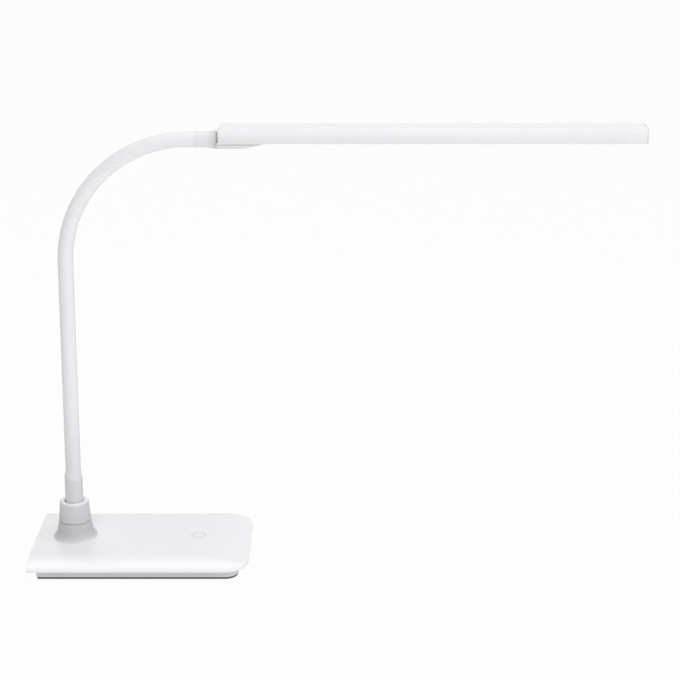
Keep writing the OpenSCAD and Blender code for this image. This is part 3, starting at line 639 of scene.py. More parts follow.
def cast_iron(name, colour):
    """Blackened plate: a rough skin with brown stains."""
    finish = Finish(name)
    stains = finish.noise(14 * MM, 5)
    skin = finish.noise(0.9 * MM, 4)
    finish.tone(colour, stains, 0.35).rough(0.66, skin, 0.12).bump(skin, 0.05 * MM)
    finish.set(metallic=0.6)
    return finish.material


def circuit_board(name, colour, track_share):
    """Solder mask over copper tracks, which show as a paler grid."""
    finish = Finish(name)
    tracks = finish.node("ShaderNodeTexBrick", {"offset": 0.37},
                         {"Vector": finish.place, "Scale": 160.0, "Mortar Size": 0.06,
                          "Color1": (0, 0, 0, 1), "Color2": (0.2, 0.2, 0.2, 1),
                          "Mortar": (1, 1, 1, 1)}, output="Fac")
    weave = finish.noise(1.5 * MM, 3)
    finish.tone(colour, tracks * 0.8 + weave * 0.2, track_share).rough(0.38, weave, 0.06)
    finish.bump(tracks, 0.03 * MM)
    return finish.material


def component_black(name, colour):
    """Moulded epoxy cases and black insulation."""
    finish = Finish(name)
    grain = finish.noise(0.4 * MM, 4)
    finish.tone(colour, 1 - grain, 0.3).rough(0.55, grain, 0.1).bump(grain, 0.01 * MM)
    return finish.material


def make_materials(colours):
    """Every finish, by the record's material slot."""
    steel = (0.52, 0.52, 0.54)
    return {
        "white_gloss": gloss_moulding("white_gloss", colours.shell),
        "bar_gloss": gloss_moulding("bar_gloss", colours.bar, painted_light_and_shade=bar_painted_highlight),
        "bar_trim": gloss_moulding("bar_trim", colours.trim, roughness=0.34),
        "plinth_grey": satin_moulding("plinth_grey", colours.plinth, roughness=0.45),
        "foot_rubber": foot_rubber("foot_rubber", colours.foot),
        "boot_grey": satin_moulding("boot_grey", colours.boot, roughness=0.55, painted_light_and_shade=boot_painted_shade),
        "ferrule": satin_moulding("ferrule", colours.ferrule, roughness=0.55),
        "neck_silicone": silicone_skin("neck_silicone", colours.sleeve),
        "end_boot": satin_moulding("end_boot", colours.end_boot, roughness=0.55,
                                   painted_light_and_shade=end_painted_shade),
        "bracket": satin_moulding("bracket", colours.end_boot, roughness=0.55,
                                  painted_light_and_shade=gap_painted_shade),
        "mark_grey": printed_mark("mark_grey", colours.mark),
        "diffuser_opal": opal_lens("diffuser_opal", colours.lens),
        "weight_iron": cast_iron("weight_iron", (0.2, 0.19, 0.19)),
        "core_steel": metal("core_steel", steel, 0.35, (1, 1, 0.1), 0.6 * MM, 0.01 * MM),
        "core_tube": metal("core_tube", steel, 0.42, (0.1, 0.1, 1), 1.4 * MM, 0.06 * MM),
        "hardware": metal("hardware", (0.62, 0.62, 0.65), 0.3, (1, 1, 1), 0.5 * MM, 0.006 * MM),
        "bearing": satin_moulding("bearing", (0.76, 0.75, 0.71), roughness=0.4),
        "board_green": circuit_board("board_green", (0.04, 0.2, 0.08), -0.6),
        "board_black": component_black("board_black", (0.03, 0.03, 0.035)),
        "led_board_white": circuit_board("led_board_white", (0.84, 0.84, 0.84), 0.06),
        "led_yellow": printed_mark("led_yellow", (0.9, 0.72, 0.2)),
    }


# ---- the neck's path ----


class NeckPath:
    """The neck's centreline: up the stem, round the bend and level to the bar.

    A place on it is a joint number, which may fall between two joints.
    """

    def __init__(self):
        neck = [joint for joint in frame["joints"] if joint["name"].startswith("neck_")]
        self.joints = neck
        places = [Vector(joint["pos_m"]) for joint in neck]
        self.bend_first = next(n for n, joint in enumerate(neck) if "upper" in joint["name"])
        self.last = len(neck) - 1
        self.start = places[0]
        self.along = places[1] - places[0]
        self.link = self.along.length
        self.lean = math.atan2(self.along.x, self.along.z)
        bend, end = places[self.bend_first], places[self.last]
        self.radius = (end.x - bend.x) / math.cos(self.lean)
        self.centre = Vector((end.x, 0, end.z - self.radius))
        self.step = (math.pi / 2 - self.lean) / (self.last - self.bend_first)

    def at(self, number):
        """The matrix of a place on the neck, with Z along it."""
        if number <= self.bend_first:
            heading = self.lean
            place = self.start + self.along * number
        else:
            heading = self.lean + (min(number, self.last) - self.bend_first) * self.step
            place = self.centre + self.radius * Vector((-math.cos(heading), 0, math.sin(heading)))
            place.x += max(number - self.last, 0) * self.link
        return Matrix.Translation(place) @ Matrix.Rotation(heading, 4, "Y")


# ---- the pieces ----


class LAMP_OT_materials(Operator):
    """Makes every finish, and gives the frame's inner pieces theirs"""

    bl_idname = "lamp.materials"
    bl_label = "Finishes"

    def execute(self, context):
        made = make_materials(context.scene.lamp_colours)
        for part in frame["record"]["subparts"]:
            mesh = frame["nodes"][part["node"]].data
            mesh.materials.clear()
            mesh.materials.append(made[part["material_slot"]])
        return {"FINISHED"}


def edge_profile(sizes, low, high):
    """The base's rounded edge as (inset, height) points: an upright band and two arcs."""
    knee = low + sizes.band
    drop = high - knee
    run = sizes.reach - sizes.tight
    wide = (run ** 2 + drop ** 2 - sizes.tight ** 2) / (2 * (drop - sizes.tight))
    tight_centre = Vector((sizes.tight, knee))
    wide_centre = Vector((sizes.reach, high - wide))
    join = math.degrees(math.atan2(*(tight_centre - wide_centre).yx))
    points = arc(tight_centre, sizes.tight, 180, join, 8)
    points += arc(wide_centre, wide, join, 90, 14)[1:]
    return [(0, low)] + points


class LAMP_OT_base_shell(Operator):
    """Moulds the base's white shell: rounded edges, a sloping nose and a flat rear wall"""

    bl_idname = "lamp.base_shell"
    bl_label = "Base Shell"

    def execute(self, context):
        sizes = context.scene.lamp_base
        low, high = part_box("base_shell")
        bm = bmesh.new()
        self.skin(bm, sizes, low, high)
        self.slope_nose(bm, sizes, low.z, high.z)
        face_outwards(bm)
        bmesh.ops.solidify(bm, geom=bm.faces[:], thickness=sizes.wall)
        soften(bm, 0.45 * MM, where=between(0, high=low.x + MM))
        soften(bm, 0.3 * MM, segments=2, sharper=60)
        jack_low, jack_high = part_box("dc_jack")
        middle = (jack_low + jack_high) / 2
        hole = rod(sizes.inlet, (low.x - sizes.wall, 0, middle.z), (1, 0, 0), 3 * sizes.wall)
        bm = boolean(bm, hole, "DIFFERENCE")
        finish_piece("base_shell_moulded", bm, "white_gloss", ["base_shell"], "base")
        return {"FINISHED"}

    def skin(self, bm, sizes, low, high):
        """The outer skin, flat on top, with its rear wall."""
        quarter = math.pi / 2
        profile = edge_profile(sizes, low.z, high.z)
        run = high.x - sizes.corner - low.x
        start = chain(bm, [(low.x, low.y + inset, height) for inset, height in profile])
        section = push(bm, start, (run, 0, 0))
        for side, travel in ((low.y + sizes.corner, (0, high.y - low.y - 2 * sizes.corner, 0)),
                             (high.y - sizes.corner, (-run, 0, 0))):
            section = turn(bm, section, (high.x - sizes.corner, side, 0), UP, quarter, 20)
            section = push(bm, section, travel)
        near = max(start[-1].verts, key=lambda vert: vert.co.z)
        far = max((vert for edge in section for vert in edge.verts), key=lambda vert: vert.co.z)
        top_edge = bm.edges.new((near, far))
        bottom_edge = bm.edges.new([min((vert for edge in edges for vert in edge.verts),
                                        key=lambda vert: vert.co.z) for edges in (start, section)])
        top = [edge for edge in bm.edges
               if edge.is_boundary and all(vert.co.z > high.z - 1e-6 for vert in edge.verts)]
        bmesh.ops.edgeloop_fill(bm, edges=top + [top_edge])
        bmesh.ops.edgeloop_fill(bm, edges=start + section + [top_edge, bottom_edge])

    def slope_nose(self, bm, sizes, low, high):
        """Lowers the front of the skin along the nose's arc, eased into the rounded edge."""
        steps = 18
        front = max(vert.co.x for vert in bm.verts)
        for n in range(steps):
            x = sizes.nose_start + (front - sizes.nose_start) * n / steps
            bmesh.ops.bisect_plane(bm, geom=bm.verts[:] + bm.edges[:] + bm.faces[:],
                                   plane_co=(x, 0, 0), plane_no=(1, 0, 0), dist=1e-6)
        ease = 6
        for vert in bm.verts:
            past = vert.co.x - sizes.nose_start
            if past > 0 and vert.co.z > low:
                fall = sizes.nose - math.sqrt(sizes.nose ** 2 - past ** 2)
                drop = high - vert.co.z
                eased = (fall ** ease + drop ** ease) ** (1 / ease)
                vert.co.z = high - min(eased, (high - low) * (1 - 1e-3))


class LAMP_OT_base_tray(Operator):
    """Moulds the grey tray that closes the shell and stands out below it as a plinth"""

    bl_idname = "lamp.base_tray"
    bl_label = "Base Tray"

    def execute(self, context):
        sizes = context.scene.lamp_base
        low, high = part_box("base_tray")
        foot_low, foot_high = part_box("foot_pad")
        shell_low, shell_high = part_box("base_shell")
        flange = corner_outline(low, high, 0, sizes.corner - (shell_high.x - high.x))
        plinth = corner_outline(foot_low, foot_high, sizes.plinth, sizes.plinth_corner)
        hollow = corner_outline(foot_low, foot_high, sizes.plinth - sizes.tray_wall,
                                sizes.plinth_corner - sizes.tray_wall)
        bm = bmesh.new()
        rim = chain(bm, plan(flange, shell_low.z), closed=True)
        foot = chain(bm, plan(plinth, shell_low.z), closed=True)
        bmesh.ops.bridge_loops(bm, edges=rim + foot)
        bmesh.ops.edgeloop_fill(bm, edges=push(bm, foot, (0, 0, low.z - shell_low.z)))
        floor = low.z + sizes.tray_wall
        inside = chain(bm, plan(hollow, floor), closed=True)
        bmesh.ops.edgeloop_fill(bm, edges=inside)
        top = push(bm, rim, (0, 0, high.z - shell_low.z))
        bmesh.ops.bridge_loops(bm, edges=top + push(bm, inside, (0, 0, high.z - floor)))
        face_outwards(bm)
        soften(bm, 0.3 * MM, where=between(2, high=low.z + MM))
        finish_piece("base_tray_moulded", bm, "plinth_grey", ["base_tray"], "base")
        return {"FINISHED"}


def corner_outline(low, high, grow, corner):
    """A box's outline in plan, moved out, with square corners behind and round ones in front."""
    back, front = low.x - grow, high.x + grow
    right, left = low.y - grow, high.y + grow
    square = 0.5 * MM
    return rounded([(back, right, square), (front, right, corner), (front, left, corner),
                    (back, left, square)], steps=14)


class LAMP_OT_foot_pad(Operator):
    """Cuts the dark rubber foot"""

    bl_idname = "lamp.foot_pad"
    bl_label = "Rubber Foot"

    def execute(self, context):
        sizes = context.scene.lamp_base
        low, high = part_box("foot_pad")
        outline = corner_outline(low, high, 0, sizes.plinth_corner - sizes.plinth)
        bm = prism(plan(outline, low.z), (0, 0, high.z - low.z))
        soften(bm, 0.25 * MM, where=between(2, high=low.z + MM / 2))
        finish_piece("foot_pad_rubber", bm, "foot_rubber", ["foot_pad"], "base")
        return {"FINISHED"}


class LAMP_OT_touch_mark(Operator):
    """Prints the touch mark: an open ring with a tick through the gap"""

    bl_idname = "lamp.touch_mark"
    bl_label = "Touch Mark"

    def execute(self, context):
        sizes = context.scene.lamp_base
        low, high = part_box("power_mark")
        half = sizes.mark_line / 2
        centre_x = high.x - sizes.mark - half
        ink, sunk = 0.03 * MM, 0.06 * MM
        gap = math.asin(1.9 * sizes.mark_line / sizes.mark)
        bm = bmesh.new()
        section = chain(bm, [(sizes.mark - half, 0, -sunk), (sizes.mark + half, 0, -sunk),
                             (sizes.mark + half, 0, ink), (sizes.mark - half, 0, ink)], closed=True)
        bmesh.ops.rotate(bm, verts=bm.verts, cent=(0, 0, 0),
                         matrix=Matrix.Rotation(math.pi + gap, 3, "Z"))
        bmesh.ops.edgeloop_fill(bm, edges=section)
        last = turn(bm, section, (0, 0, 0), UP, math.tau - 2 * gap, 72)
        bmesh.ops.edgeloop_fill(bm, edges=last)
        tick = low.x - centre_x, -sizes.mark + 2.6 * MM
        size = Matrix.Diagonal((tick[1] - tick[0], sizes.mark_line, ink + sunk, 1))
        bmesh.ops.create_cube(bm, size=1, matrix=Matrix.Translation((sum(tick) / 2, 0,
                                                                     (ink - sunk) / 2)) @ size)
        bmesh.ops.translate(bm, verts=bm.verts, vec=(centre_x, 0, high.z))
        face_outwards(bm)
        finish_piece("touch_mark", bm, "mark_grey", ["power_mark"], "base")
        return {"FINISHED"}


class LAMP_OT_pivot_boot(Operator):
    """Turns the flared boot that stands on the base"""

    bl_idname = "lamp.pivot_boot"
    bl_label = "Pivot Boot"

    def execute(self, context):
        sizes = context.scene.lamp_swivel
        low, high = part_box("pivot_boot")
        waist = Vector((sizes.waist, sizes.waist_height))
        side = Vector((sizes.waist - sizes.seam, sizes.waist_height - high.z)).normalized()
        centre = waist + Vector((-side.y, side.x)) * sizes.flare
        start = math.degrees(math.atan2(*(waist - centre).yx)) % 360
        end = 180 + math.degrees(math.acos((centre.x - sizes.foot) / sizes.flare))
        outline = [(sizes.bore, high.z, 0), (sizes.seam, high.z, 0.6 * MM)]
        outline += [(x, z, 0) for x, z in arc(centre, sizes.flare, start, end, 14)]
        outline += [(sizes.foot, low.z, 0), (sizes.bore, low.z, 0)]
        bm = lathe(rounded(outline), Matrix.Translation((SWIVEL.x, 0, 0)))
        finish_piece("pivot_boot_moulded", bm, "boot_grey", ["pivot_boot"], "base")
        return {"FINISHED"}


class LAMP_OT_collar(Operator):
    """Turns the collar that carries the neck round"""

    bl_idname = "lamp.collar"
    bl_label = "Turning Collar"

    def execute(self, context):
        sizes = context.scene.lamp_swivel
        low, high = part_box("swivel_collar")
        shelf = SWIVEL.z + sizes.shelf
        outline = [(COLLAR_BORE, low.z, 0), (sizes.seam, low.z, 0.6 * MM),
                   (sizes.top, high.z, sizes.round), (sizes.hole, high.z, sizes.lip),
                   (sizes.hole, shelf, 0), (COLLAR_BORE, shelf, 0)]
        bm = lathe(rounded(outline, steps=8), Matrix.Translation((SWIVEL.x, 0, 0)))
        finish_piece("swivel_collar_moulded", bm, "boot_grey", ["swivel_collar"], "arm")
        return {"FINISHED"}


class LAMP_OT_ferrule(Operator):
    """Turns the ferrule at the neck's foot"""

    bl_idname = "lamp.ferrule"
    bl_label = "Neck Ferrule"

    def execute(self, context):
        sizes = context.scene.lamp_neck
        path = NeckPath()
        foot, seam = ferrule_ends(path, sizes.raised)
        outline = [(sizes.core, foot, 0), (sizes.ferrule, foot, 0.3 * MM),
                   (sizes.ferrule, seam, 0.25 * MM), (sizes.core, seam, 0)]
        bm = lathe(rounded(outline), path.at(0))
        finish_piece("neck_ferrule_moulded", bm, "boot_grey", ["neck_ferrule"], "arm",
                     finish="ferrule")
        return {"FINISHED"}


TURNED_BACK = (9, 13)


def ferrule_ends(path, raised):
    """Where the ferrule starts and ends along the neck, measured from the first joint."""
    low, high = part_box("neck_ferrule")
    radius = (high.y - low.y) / 2
    tilt = radius * math.sin(path.lean)
    first = path.start.z
    return ((low.z + tilt - first) / math.cos(path.lean),
            (high.z - tilt - first) / math.cos(path.lean) + raised)


def tube_along(path, start, stop, steps, sides, radius_at):
    """An open tube round the neck's path between two places, as a new mesh."""
    bm = bmesh.new()
    bmesh.ops.create_circle(bm, segments=sides, radius=1)
    ring, verts = bm.edges[:], bm.verts[:]
    before = Matrix.Identity(4)
    for n in range(steps + 1):
        place = start + (stop - start) * n / steps
        if n:
            made = bmesh.ops.extrude_edge_only(bm, edges=ring)["geom"]
            ring, verts = kind_of(made, bmesh.types.BMEdge), kind_of(made, bmesh.types.BMVert)
        matrix = path.at(place) @ Matrix.Scale(radius_at(place), 4)
        bmesh.ops.transform(bm, matrix=matrix @ before.inverted(), verts=verts)
        before = matrix
    face_outwards(bm)
    return bm


def blend_at_joint(piece, path, number, end):
    """Bakes a length of the neck's place into its mesh; the places either side of its joint are
    worked out but not used.
    """
    joint = path.joints[number]
    before = joint["parent"], path.at(number - 0.5).translation
    after = joint["child"], path.at(number + 0.5 if number < path.last else end).translation
    if number in TURNED_BACK:
        before, after = after, before
    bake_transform(piece)


class LAMP_OT_sleeve(Operator):
    """Draws the silicone sleeve in one length per joint"""

    bl_idname = "lamp.sleeve"
    bl_label = "Neck Sleeve"

    def execute(self, context):
        sizes = context.scene.lamp_neck
        path = NeckPath()
        seam = ferrule_ends(path, sizes.raised)[1] / path.link
        end = path.last + sizes.level / path.link
        for number in range(path.last + 1):
            start = number - 0.5 if number else seam
            stop = number + 0.5 if number < path.last else end
            bm = tube_along(path, start, stop, 24 if number == 0 else 14, 64,
                            lambda place: self.radius_at(sizes, path, place, seam))
            bmesh.ops.solidify(bm, geom=bm.faces[:], thickness=sizes.end - sizes.bore)
            if number == 0:
                cuff = path.at(seam + 0.05).translation.z
                soften(bm, 0.25 * MM, where=lambda edge: max(v.co.z for v in edge.verts) < cuff
                       and lies_outside(edge, path, sizes.ferrule - 0.1 * MM))
            piece = finish_piece("neck_sleeve_%02d" % (number + 1), bm, "neck_silicone",
                                 ["neck_sleeve"])
            blend_at_joint(piece, path, number, end)
        return {"FINISHED"}

    def radius_at(self, sizes, path, place, seam):
        """The sleeve's outer radius at a place on the neck."""
        past = (place - seam) * path.link
        if past < sizes.cuff:
            flat = 2 * MM
            share = max(0, past - flat) / (sizes.cuff - flat)
            ease = 0.5 + 0.5 * math.cos(math.pi * share)
            return sizes.foot + (sizes.ferrule - sizes.foot) * ease
        top = seam + sizes.cuff / path.link
        if place < path.bend_first:
            share = (place - top) / (path.bend_first - top)
            return sizes.foot + (sizes.middle - sizes.foot) * share
        share = min(1, (place - path.bend_first) / (path.last - path.bend_first))
        return sizes.middle + (sizes.end - sizes.middle) * share


def lies_outside(edge, path, radius):
    """Whether an edge of the stem lies outside a radius round its line."""
    local = path.at(0).inverted()
    return all((local @ vert.co).xy.length > radius for vert in edge.verts)


class LAMP_OT_lead(Operator):
    """Threads the lead through the neck, and turns it up to the light board in the bar"""

    bl_idname = "lamp.lead"
    bl_label = "Neck Lead"

    def execute(self, context):
        path = NeckPath()
        low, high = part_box("neck_lead")
        radius = high.y
        foot = (low.z - path.start.z) / math.cos(path.lean) / path.link
        end = path.last + (ROLL.x - path.at(path.last).translation.x) / path.link
        for number in range(path.last + 1):
            start = number - 0.5 if number else foot
            stop = number + 0.5 if number < path.last else end
            bm = tube_along(path, start, stop, 6, 16, lambda place: radius - 0.1 * MM)
            bmesh.ops.holes_fill(bm, edges=bm.edges)
            face_outwards(bm)
            piece = finish_piece("neck_lead_%02d" % (number + 1), bm, "board_black", ["neck_lead"])
            blend_at_joint(piece, path, number, end)
        self.tail(path.at(end).translation, radius, high)
        return {"FINISHED"}

    def tail(self, start, radius, high):
        """The last stretch, which turns with the bar."""
        bend = 4 * MM
        turn_x = high.x - radius - bend
        bm = bmesh.new()
        place = Matrix.Translation(start) @ Matrix.Rotation(math.pi / 2, 4, "Y")
        bmesh.ops.create_circle(bm, segments=16, radius=radius, matrix=place)
        ring = push(bm, bm.edges[:], (turn_x - start.x, 0, 0))
        ring = turn(bm, ring, (turn_x, 0, start.z + bend), (0, -1, 0), math.pi / 2, 8)
        push(bm, ring, (0, 0, high.z - start.z - bend))
        bmesh.ops.holes_fill(bm, edges=bm.edges)
        face_outwards(bm)
        finish_piece("neck_lead_tail", bm, "board_black", ["neck_lead"], "head")


class LAMP_OT_end_boot(Operator):
    """Turns the boot that widens from the sleeve to the bracket"""

    bl_idname = "lamp.end_boot"
    bl_label = "Neck End Boot"

    def execute(self, context):
        sizes = context.scene.lamp_neck
        low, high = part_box("neck_end_boot")
        reach = high.x - low.x + context.scene.lamp_bar.seam_shift
        steps = 16
        flare = [(sizes.end + sizes.boot * (n / steps) ** 2, reach * n / steps, 0)
                 for n in range(steps)]
        outline = [(sizes.core, 0, 0)] + flare
        outline += [(sizes.end + sizes.boot, reach, 0.2 * MM), (sizes.core, reach, 0)]
        place = Matrix.Translation((low.x, 0, ROLL.z)) @ Matrix.Rotation(math.pi / 2, 4, "Y")
        bm = lathe(rounded(outline), place)
        finish_piece("neck_end_boot_moulded", bm, "end_boot", ["neck_end_boot"], "neck_end")
        return {"FINISHED"}


# ---- light bar ----


def side_arcs(sizes, low, high, inset):
    """The bar's two bulging sides as (across, up) points, from the left foot over to the right."""
    middle = low.z + WIDEST * (high.z - low.z)
    radius = sizes.side - inset
    offset = sizes.side - high.y
    foot = math.degrees(math.asin((low.z - middle) / radius))
    top = math.degrees(math.asin((high.z - inset - middle) / radius))
    right = arc((-offset, middle), radius, top, foot, 16)
    return [(-across, up) for across, up in reversed(right)] + right


class LAMP_OT_housing(Operator):
    """Draws the light bar's housing, open below"""

    bl_idname = "lamp.housing"
    bl_label = "Bar Housing"

    def execute(self, context):
        sizes = context.scene.lamp_bar
        low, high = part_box("bar_housing")
        bm = bmesh.new()
        skin = chain(bm, along_bar(side_arcs(sizes, low, high, 0), low.x))
        push(bm, skin, (high.x - low.x, 0, 0))
        face_outwards(bm)
        bmesh.ops.solidify(bm, geom=bm.faces[:], thickness=sizes.wall)
        on_top = between(2, low=high.z - MM / 2)
        soften(bm, sizes.edge, segments=5, where=lambda edge: on_top(edge)
               and abs(edge.verts[0].co.x - edge.verts[1].co.x) > MM)
        soften(bm, sizes.seam)
        finish_piece("bar_housing_moulded", bm, "white_gloss", ["bar_housing"], "head",
                     finish="bar_gloss")
        return {"FINISHED"}


class LAMP_OT_caps(Operator):
    """Moulds the bar's end caps: a flat one round the bracket and a domed one at the free end"""

    bl_idname = "lamp.caps"
    bl_label = "End Caps"

    def execute(self, context):
        sizes = context.scene.lamp_bar
        self.near_cap(sizes)
        self.far_cap(sizes)
        return {"FINISHED"}

    def near_cap(self, sizes):
        """The cap at the neck, with a slot for the bracket's barrel."""
        low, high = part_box("near_cap")
        slot = sizes.barrel + 0.1 * MM
        outline = side_arcs(sizes, low, high, 0)
        outline += [(slot, low.z), *arc((0, ROLL.z), slot, 0, 180, 24), (-slot, low.z)]
        bm = prism(along_bar(outline, low.x), (high.x - low.x, 0, 0))

        def is_outer(edge):
            return all(math.hypot(v.co.y, v.co.z - ROLL.z) > sizes.disc for v in edge.verts)

        at_neck = between(0, high=low.x + MM / 2)
        soften(bm, sizes.near_edge, segments=6, where=lambda edge: is_outer(edge) and at_neck(edge)
               and abs(edge.verts[0].co.z - edge.verts[1].co.z) > MM / 10)
        soften(bm, sizes.seam, where=is_outer)
        finish_piece("near_cap_moulded", bm, "white_gloss", ["near_cap"], "head",
                     finish="bar_gloss")

    def far_cap(self, sizes):
        """The cap at the free end, which is crowned both ways."""
        low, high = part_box("far_cap")
        middle = (low + high) / 2
        bm = prism(along_bar(side_arcs(sizes, low, high, 0), low.x + sizes.slot),
                   (high.x - low.x - sizes.slot, 0, 0))
        bm = boolean(bm, prism(along_bar(side_arcs(sizes, low, high, sizes.slot_depth), low.x),
                               (2 * sizes.slot, 0, 0)), "UNION")
        for radius, axis, segments in ((sizes.end_side, Vector((0, 1, 0)), 180),
                                       (sizes.end_plan, UP, 720)):
            span = 2 * (high.y - low.y)
            start = Vector((high.x - radius, 0, middle.z)) - axis * span / 2
            bm = boolean(bm, rod(radius, start, axis, span, segments), "INTERSECT")
        soften(bm, sizes.seam, sharper=40)
        finish_piece("far_cap_moulded", bm, "white_gloss", ["far_cap"], "head",
                     finish="bar_gloss")


class LAMP_OT_bracket(Operator):
    """Moulds the bracket: a barrel into the bar, and a grooved and ramped tongue under it"""

    bl_idname = "lamp.bracket"
    bl_label = "Head Bracket"

    def execute(self, context):
        sizes = context.scene.lamp_bar
        low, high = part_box("head_bracket")
        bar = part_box("near_cap")[0]
        start = Vector((low.x + sizes.seam_shift, 0, ROLL.z))
        along = Vector((1, 0, 0))
        bm = self.tongue(sizes, start.x, high.x, bar.z)
        bm = boolean(bm, rod(sizes.neck, start, along, sizes.barrel_length, 96), "UNION")
        inside = Vector((bar.x - 0.1 * MM, 0, ROLL.z))
        reach = start.x + sizes.barrel_length - inside.x
        barrel = rod(sizes.barrel - 0.02 * MM, inside, along, reach, 96)
        bm = boolean(bm, barrel, "UNION")
        bore = rod(sizes.bush, start - along * MM, along, sizes.barrel_length + 2 * MM)
        bm = boolean(bm, bore, "DIFFERENCE")
        finish_piece("head_bracket_moulded", bm, "end_boot", ["head_bracket"], "head",
                     finish="bracket")
        return {"FINISHED"}

    def tongue(self, sizes, start, end, bar_z):
        """The tongue: a lip below a groove as deep as the barrel, cut off by the ramp."""
        ledge = bar_z - sizes.groove - ROLL.z
        under = bar_z - 0.05 * MM - ROLL.z
        lip, neck_low, neck_high = (math.degrees(math.asin(height / radius)) for height, radius in (
            (ledge, sizes.disc), (ledge, sizes.barrel), (under, sizes.barrel)))
        centre = (0, ROLL.z)
        outline = (arc(centre, sizes.disc, lip, -180 - lip, 40)
                   + arc(centre, sizes.barrel, 180 - neck_low, 180 - neck_high, 8)
                   + arc(centre, sizes.barrel, neck_high, neck_low, 8))
        bm = prism(along_bar(outline, start), (end - start, 0, 0))
        ramp_start = Vector((start - sizes.seam_shift + sizes.flat, 0, ROLL.z - sizes.disc))
        ramp_end = Vector((end, 0, bar_z - 0.4 * MM))
        ramp = (ramp_end - ramp_start).cross(Vector((0, 1, 0)))
        cut = bmesh.ops.bisect_plane(bm, geom=bm.verts[:] + bm.edges[:] + bm.faces[:], dist=1e-7,
                                     clear_inner=True, plane_co=ramp_start, plane_no=ramp)
        bmesh.ops.edgeloop_fill(bm, edges=kind_of(cut["geom_cut"], bmesh.types.BMEdge))
        face_outwards(bm)
        soften(bm, 0.25 * MM, sharper=40)
        return bm


class LAMP_OT_underside(Operator):
    """Fits the opal diffuser and the cover behind it between the housing's walls"""

    bl_idname = "lamp.underside"
    bl_label = "Diffuser and Cover"

    def execute(self, context):
        sizes = context.scene.lamp_bar
        self.diffuser(sizes)
        self.rear_cover(sizes)
        return {"FINISHED"}

    def diffuser(self, sizes):
        """The opal strip, crowned below and flat above."""
        low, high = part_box("diffuser")
        foot = low.z + sizes.crown
        half = high.y - 0.05 * MM
        radius = (half ** 2 + sizes.crown ** 2) / (2 * sizes.crown)
        swing = math.degrees(math.asin(half / radius))
        outline = arc((0, low.z + radius), radius, 270 - swing, 270 + swing, 24)
        outline += [(half, foot + sizes.lens), (-half, foot + sizes.lens)]
        bm = prism(along_bar(outline, low.x), (high.x - low.x, 0, 0))
        soften(bm, 0.15 * MM, segments=2)
        finish_piece("diffuser_opal", bm, "diffuser_opal", ["diffuser"], "head")

    def rear_cover(self, sizes):
        """The plate under the bar's rear end, slotted for the bracket."""
        low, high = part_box("rear_cover")
        bracket_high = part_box("head_bracket")[1]
        slot = sizes.barrel + 0.2 * MM
        half = high.y
        slot_end = bracket_high.x - COVER_SLOT_END
        outline = rounded([(low.x, -half, 0), (high.x, -half, 0), (high.x, half, 0),
                           (low.x, half, 0), (low.x, slot, 0), (slot_end, slot, 3 * MM),
                           (slot_end, -slot, 3 * MM), (low.x, -slot, 0)])
        bm = prism(plan(outline, low.z), (0, 0, sizes.lens))
        soften(bm, 0.2 * MM, segments=2)
        finish_piece("rear_cover_moulded", bm, "bar_trim", ["rear_cover"], "head")


# ---- stage ----


STUDIO_WHITE = (0.998, 0.985, 0.998, 1)
LIGHTS_AIM = (0.05, 0, 0.15)
LIGHTS = {  # the place and the size of each, in metres
    "top": ((0.1, 0.5, 5.0), 4.0),
    "high": ((0.1, -1.8, 2.0), 1.6),
    "front": ((0.1, -2.6, 0.9), 1.6),
    "right": ((1.5, -0.3, 0.7), 0.8),
    "back": ((0, 1.6, 1.6), 1.4),
}


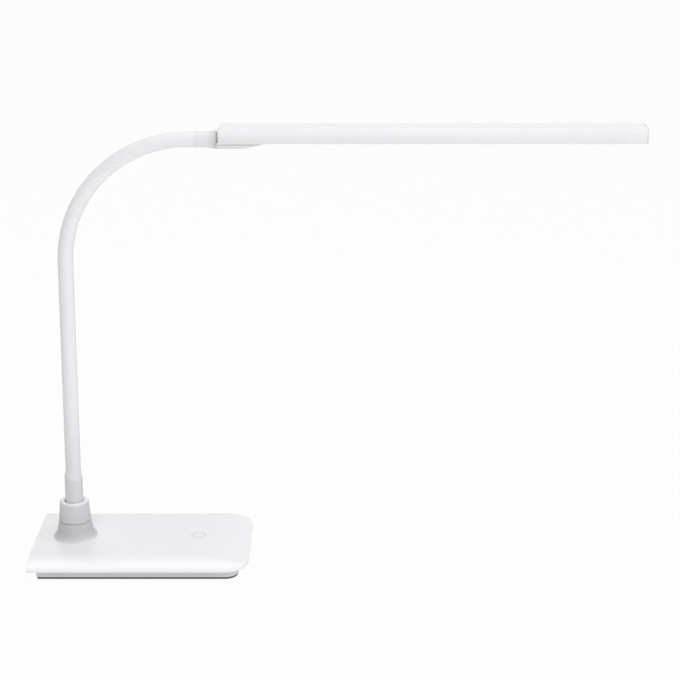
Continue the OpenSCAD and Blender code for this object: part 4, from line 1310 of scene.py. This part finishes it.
class LAMP_OT_stage(Operator):
    """Sets the floor, the lights and the camera"""

    bl_idname = "lamp.stage"
    bl_label = "Stage"

    def execute(self, context):
        settings = context.scene.lamp_stage
        context.scene.view_settings.view_transform = "Standard"
        self.floor(context)
        self.world(context, settings.ambient)
        for name, (place, size) in LIGHTS.items():
            self.light(context, name, getattr(settings, name), place, size)
        self.camera(context, settings)
        return {"FINISHED"}

    def floor(self, context):
        """A pale floor that is white to the camera apart from the lamp's shadow."""
        bm = bmesh.new()
        bmesh.ops.create_grid(bm, x_segments=1, y_segments=1, size=15)
        mesh = bpy.data.meshes.new("floor")
        bm.to_mesh(mesh)
        bm.free()
        floor = bpy.data.objects.new("floor", mesh)
        context.scene.collection.objects.link(floor)
        finish = Finish("floor_white")
        finish.set(base_color=(0.9, 0.9, 0.9, 1), roughness=0.9)
        plain = Wire(finish, finish.shader.outputs[0])
        seen = finish.node("ShaderNodeLightPath", output="Is Camera Ray")
        mirrored = finish.node("ShaderNodeLightPath", output="Is Glossy Ray")
        glow = finish.node("ShaderNodeEmission", sockets={"Color": STUDIO_WHITE})
        share = finish.node("ShaderNodeMix", {"clamp_factor": True},
                            {"Factor": seen, "A": mirrored, "B": 0.97})
        mixed = finish.node("ShaderNodeMixShader", sockets={0: share, 1: plain, 2: glow})
        output = finish.tree.nodes["Material Output"]
        finish.feed(output.inputs["Surface"], mixed)
        mesh.materials.append(finish.material)

    def world(self, context, ambient):
        """Soft light from all round, and a white backdrop where it is seen or mirrored."""
        world = bpy.data.worlds.new("studio")
        context.scene.world = world
        world.use_nodes = True
        nodes, links = world.node_tree.nodes, world.node_tree.links
        background = nodes["Background"]
        background.inputs["Color"].default_value = STUDIO_WHITE
        path = nodes.new("ShaderNodeLightPath")
        seen = None
        for output in ("Is Camera Ray", "Is Glossy Ray", "Is Transmission Ray"):
            if seen is None:
                seen = path.outputs[output]
                continue
            either = nodes.new("ShaderNodeMath")
            either.operation = "MAXIMUM"
            links.new(seen, either.inputs[0])
            links.new(path.outputs[output], either.inputs[1])
            seen = either.outputs[0]
        strength = nodes.new("ShaderNodeMix")
        strength.inputs["A"].default_value = ambient
        strength.inputs["B"].default_value = 1
        links.new(seen, strength.inputs["Factor"])
        links.new(strength.outputs[0], background.inputs["Strength"])

    def light(self, context, name, power, place, size):
        """A square soft light that faces the lamp."""
        data = bpy.data.lights.new(name, "AREA")
        data.energy = power
        data.size = size
        light = bpy.data.objects.new(name, data)
        light.location = place
        aim = Vector(LIGHTS_AIM) - Vector(place)
        light.rotation_euler = aim.to_track_quat("-Z", "Y").to_euler()
        context.scene.collection.objects.link(light)

    def camera(self, context, settings):
        """The camera at the reference view."""
        data = bpy.data.cameras.new("camera")
        data.lens = settings.lens
        camera = bpy.data.objects.new("camera", data)
        camera.location = (settings.aside, -settings.distance, settings.height)
        camera.rotation_euler = (math.pi / 2 - settings.pitch, 0, 0)
        context.scene.collection.objects.link(camera)
        context.scene.camera = camera


OPERATORS = (LAMP_OT_materials, LAMP_OT_base_shell, LAMP_OT_base_tray, LAMP_OT_foot_pad,
             LAMP_OT_touch_mark, LAMP_OT_pivot_boot, LAMP_OT_collar, LAMP_OT_ferrule,
             LAMP_OT_sleeve, LAMP_OT_lead, LAMP_OT_end_boot, LAMP_OT_housing, LAMP_OT_caps,
             LAMP_OT_bracket, LAMP_OT_underside, LAMP_OT_stage)


class LAMP_PT_sidebar(Panel):
    """The lamp's steps and settings in the 3D view's sidebar"""

    bl_label = "Desk Lamp"
    bl_idname = "LAMP_PT_sidebar"
    bl_space_type = "VIEW_3D"
    bl_region_type = "UI"
    bl_category = "Lamp"

    def draw(self, context):
        for operator in OPERATORS:
            self.layout.operator(operator.bl_idname)
        for setting, group in SETTINGS.items():
            box = self.layout.box()
            box.label(text=setting.replace("lamp_", "").title())
            for name in group.__annotations__:
                box.prop(getattr(context.scene, setting), name)


def register():
    for group in SETTINGS.values():
        bpy.utils.register_class(group)
    for setting, group in SETTINGS.items():
        setattr(bpy.types.Scene, setting, PointerProperty(type=group))
    for shown in (*OPERATORS, LAMP_PT_sidebar):
        bpy.utils.register_class(shown)


def unregister():
    for shown in (LAMP_PT_sidebar, *reversed(OPERATORS)):
        bpy.utils.unregister_class(shown)
    for setting, group in SETTINGS.items():
        delattr(bpy.types.Scene, setting)
        bpy.utils.unregister_class(group)


def main():
    """Builds the lamp step by step."""
    register()
    for operator in OPERATORS:
        getattr(bpy.ops.lamp, operator.bl_idname.split(".")[1])()


if __name__ == "__main__":
    main()
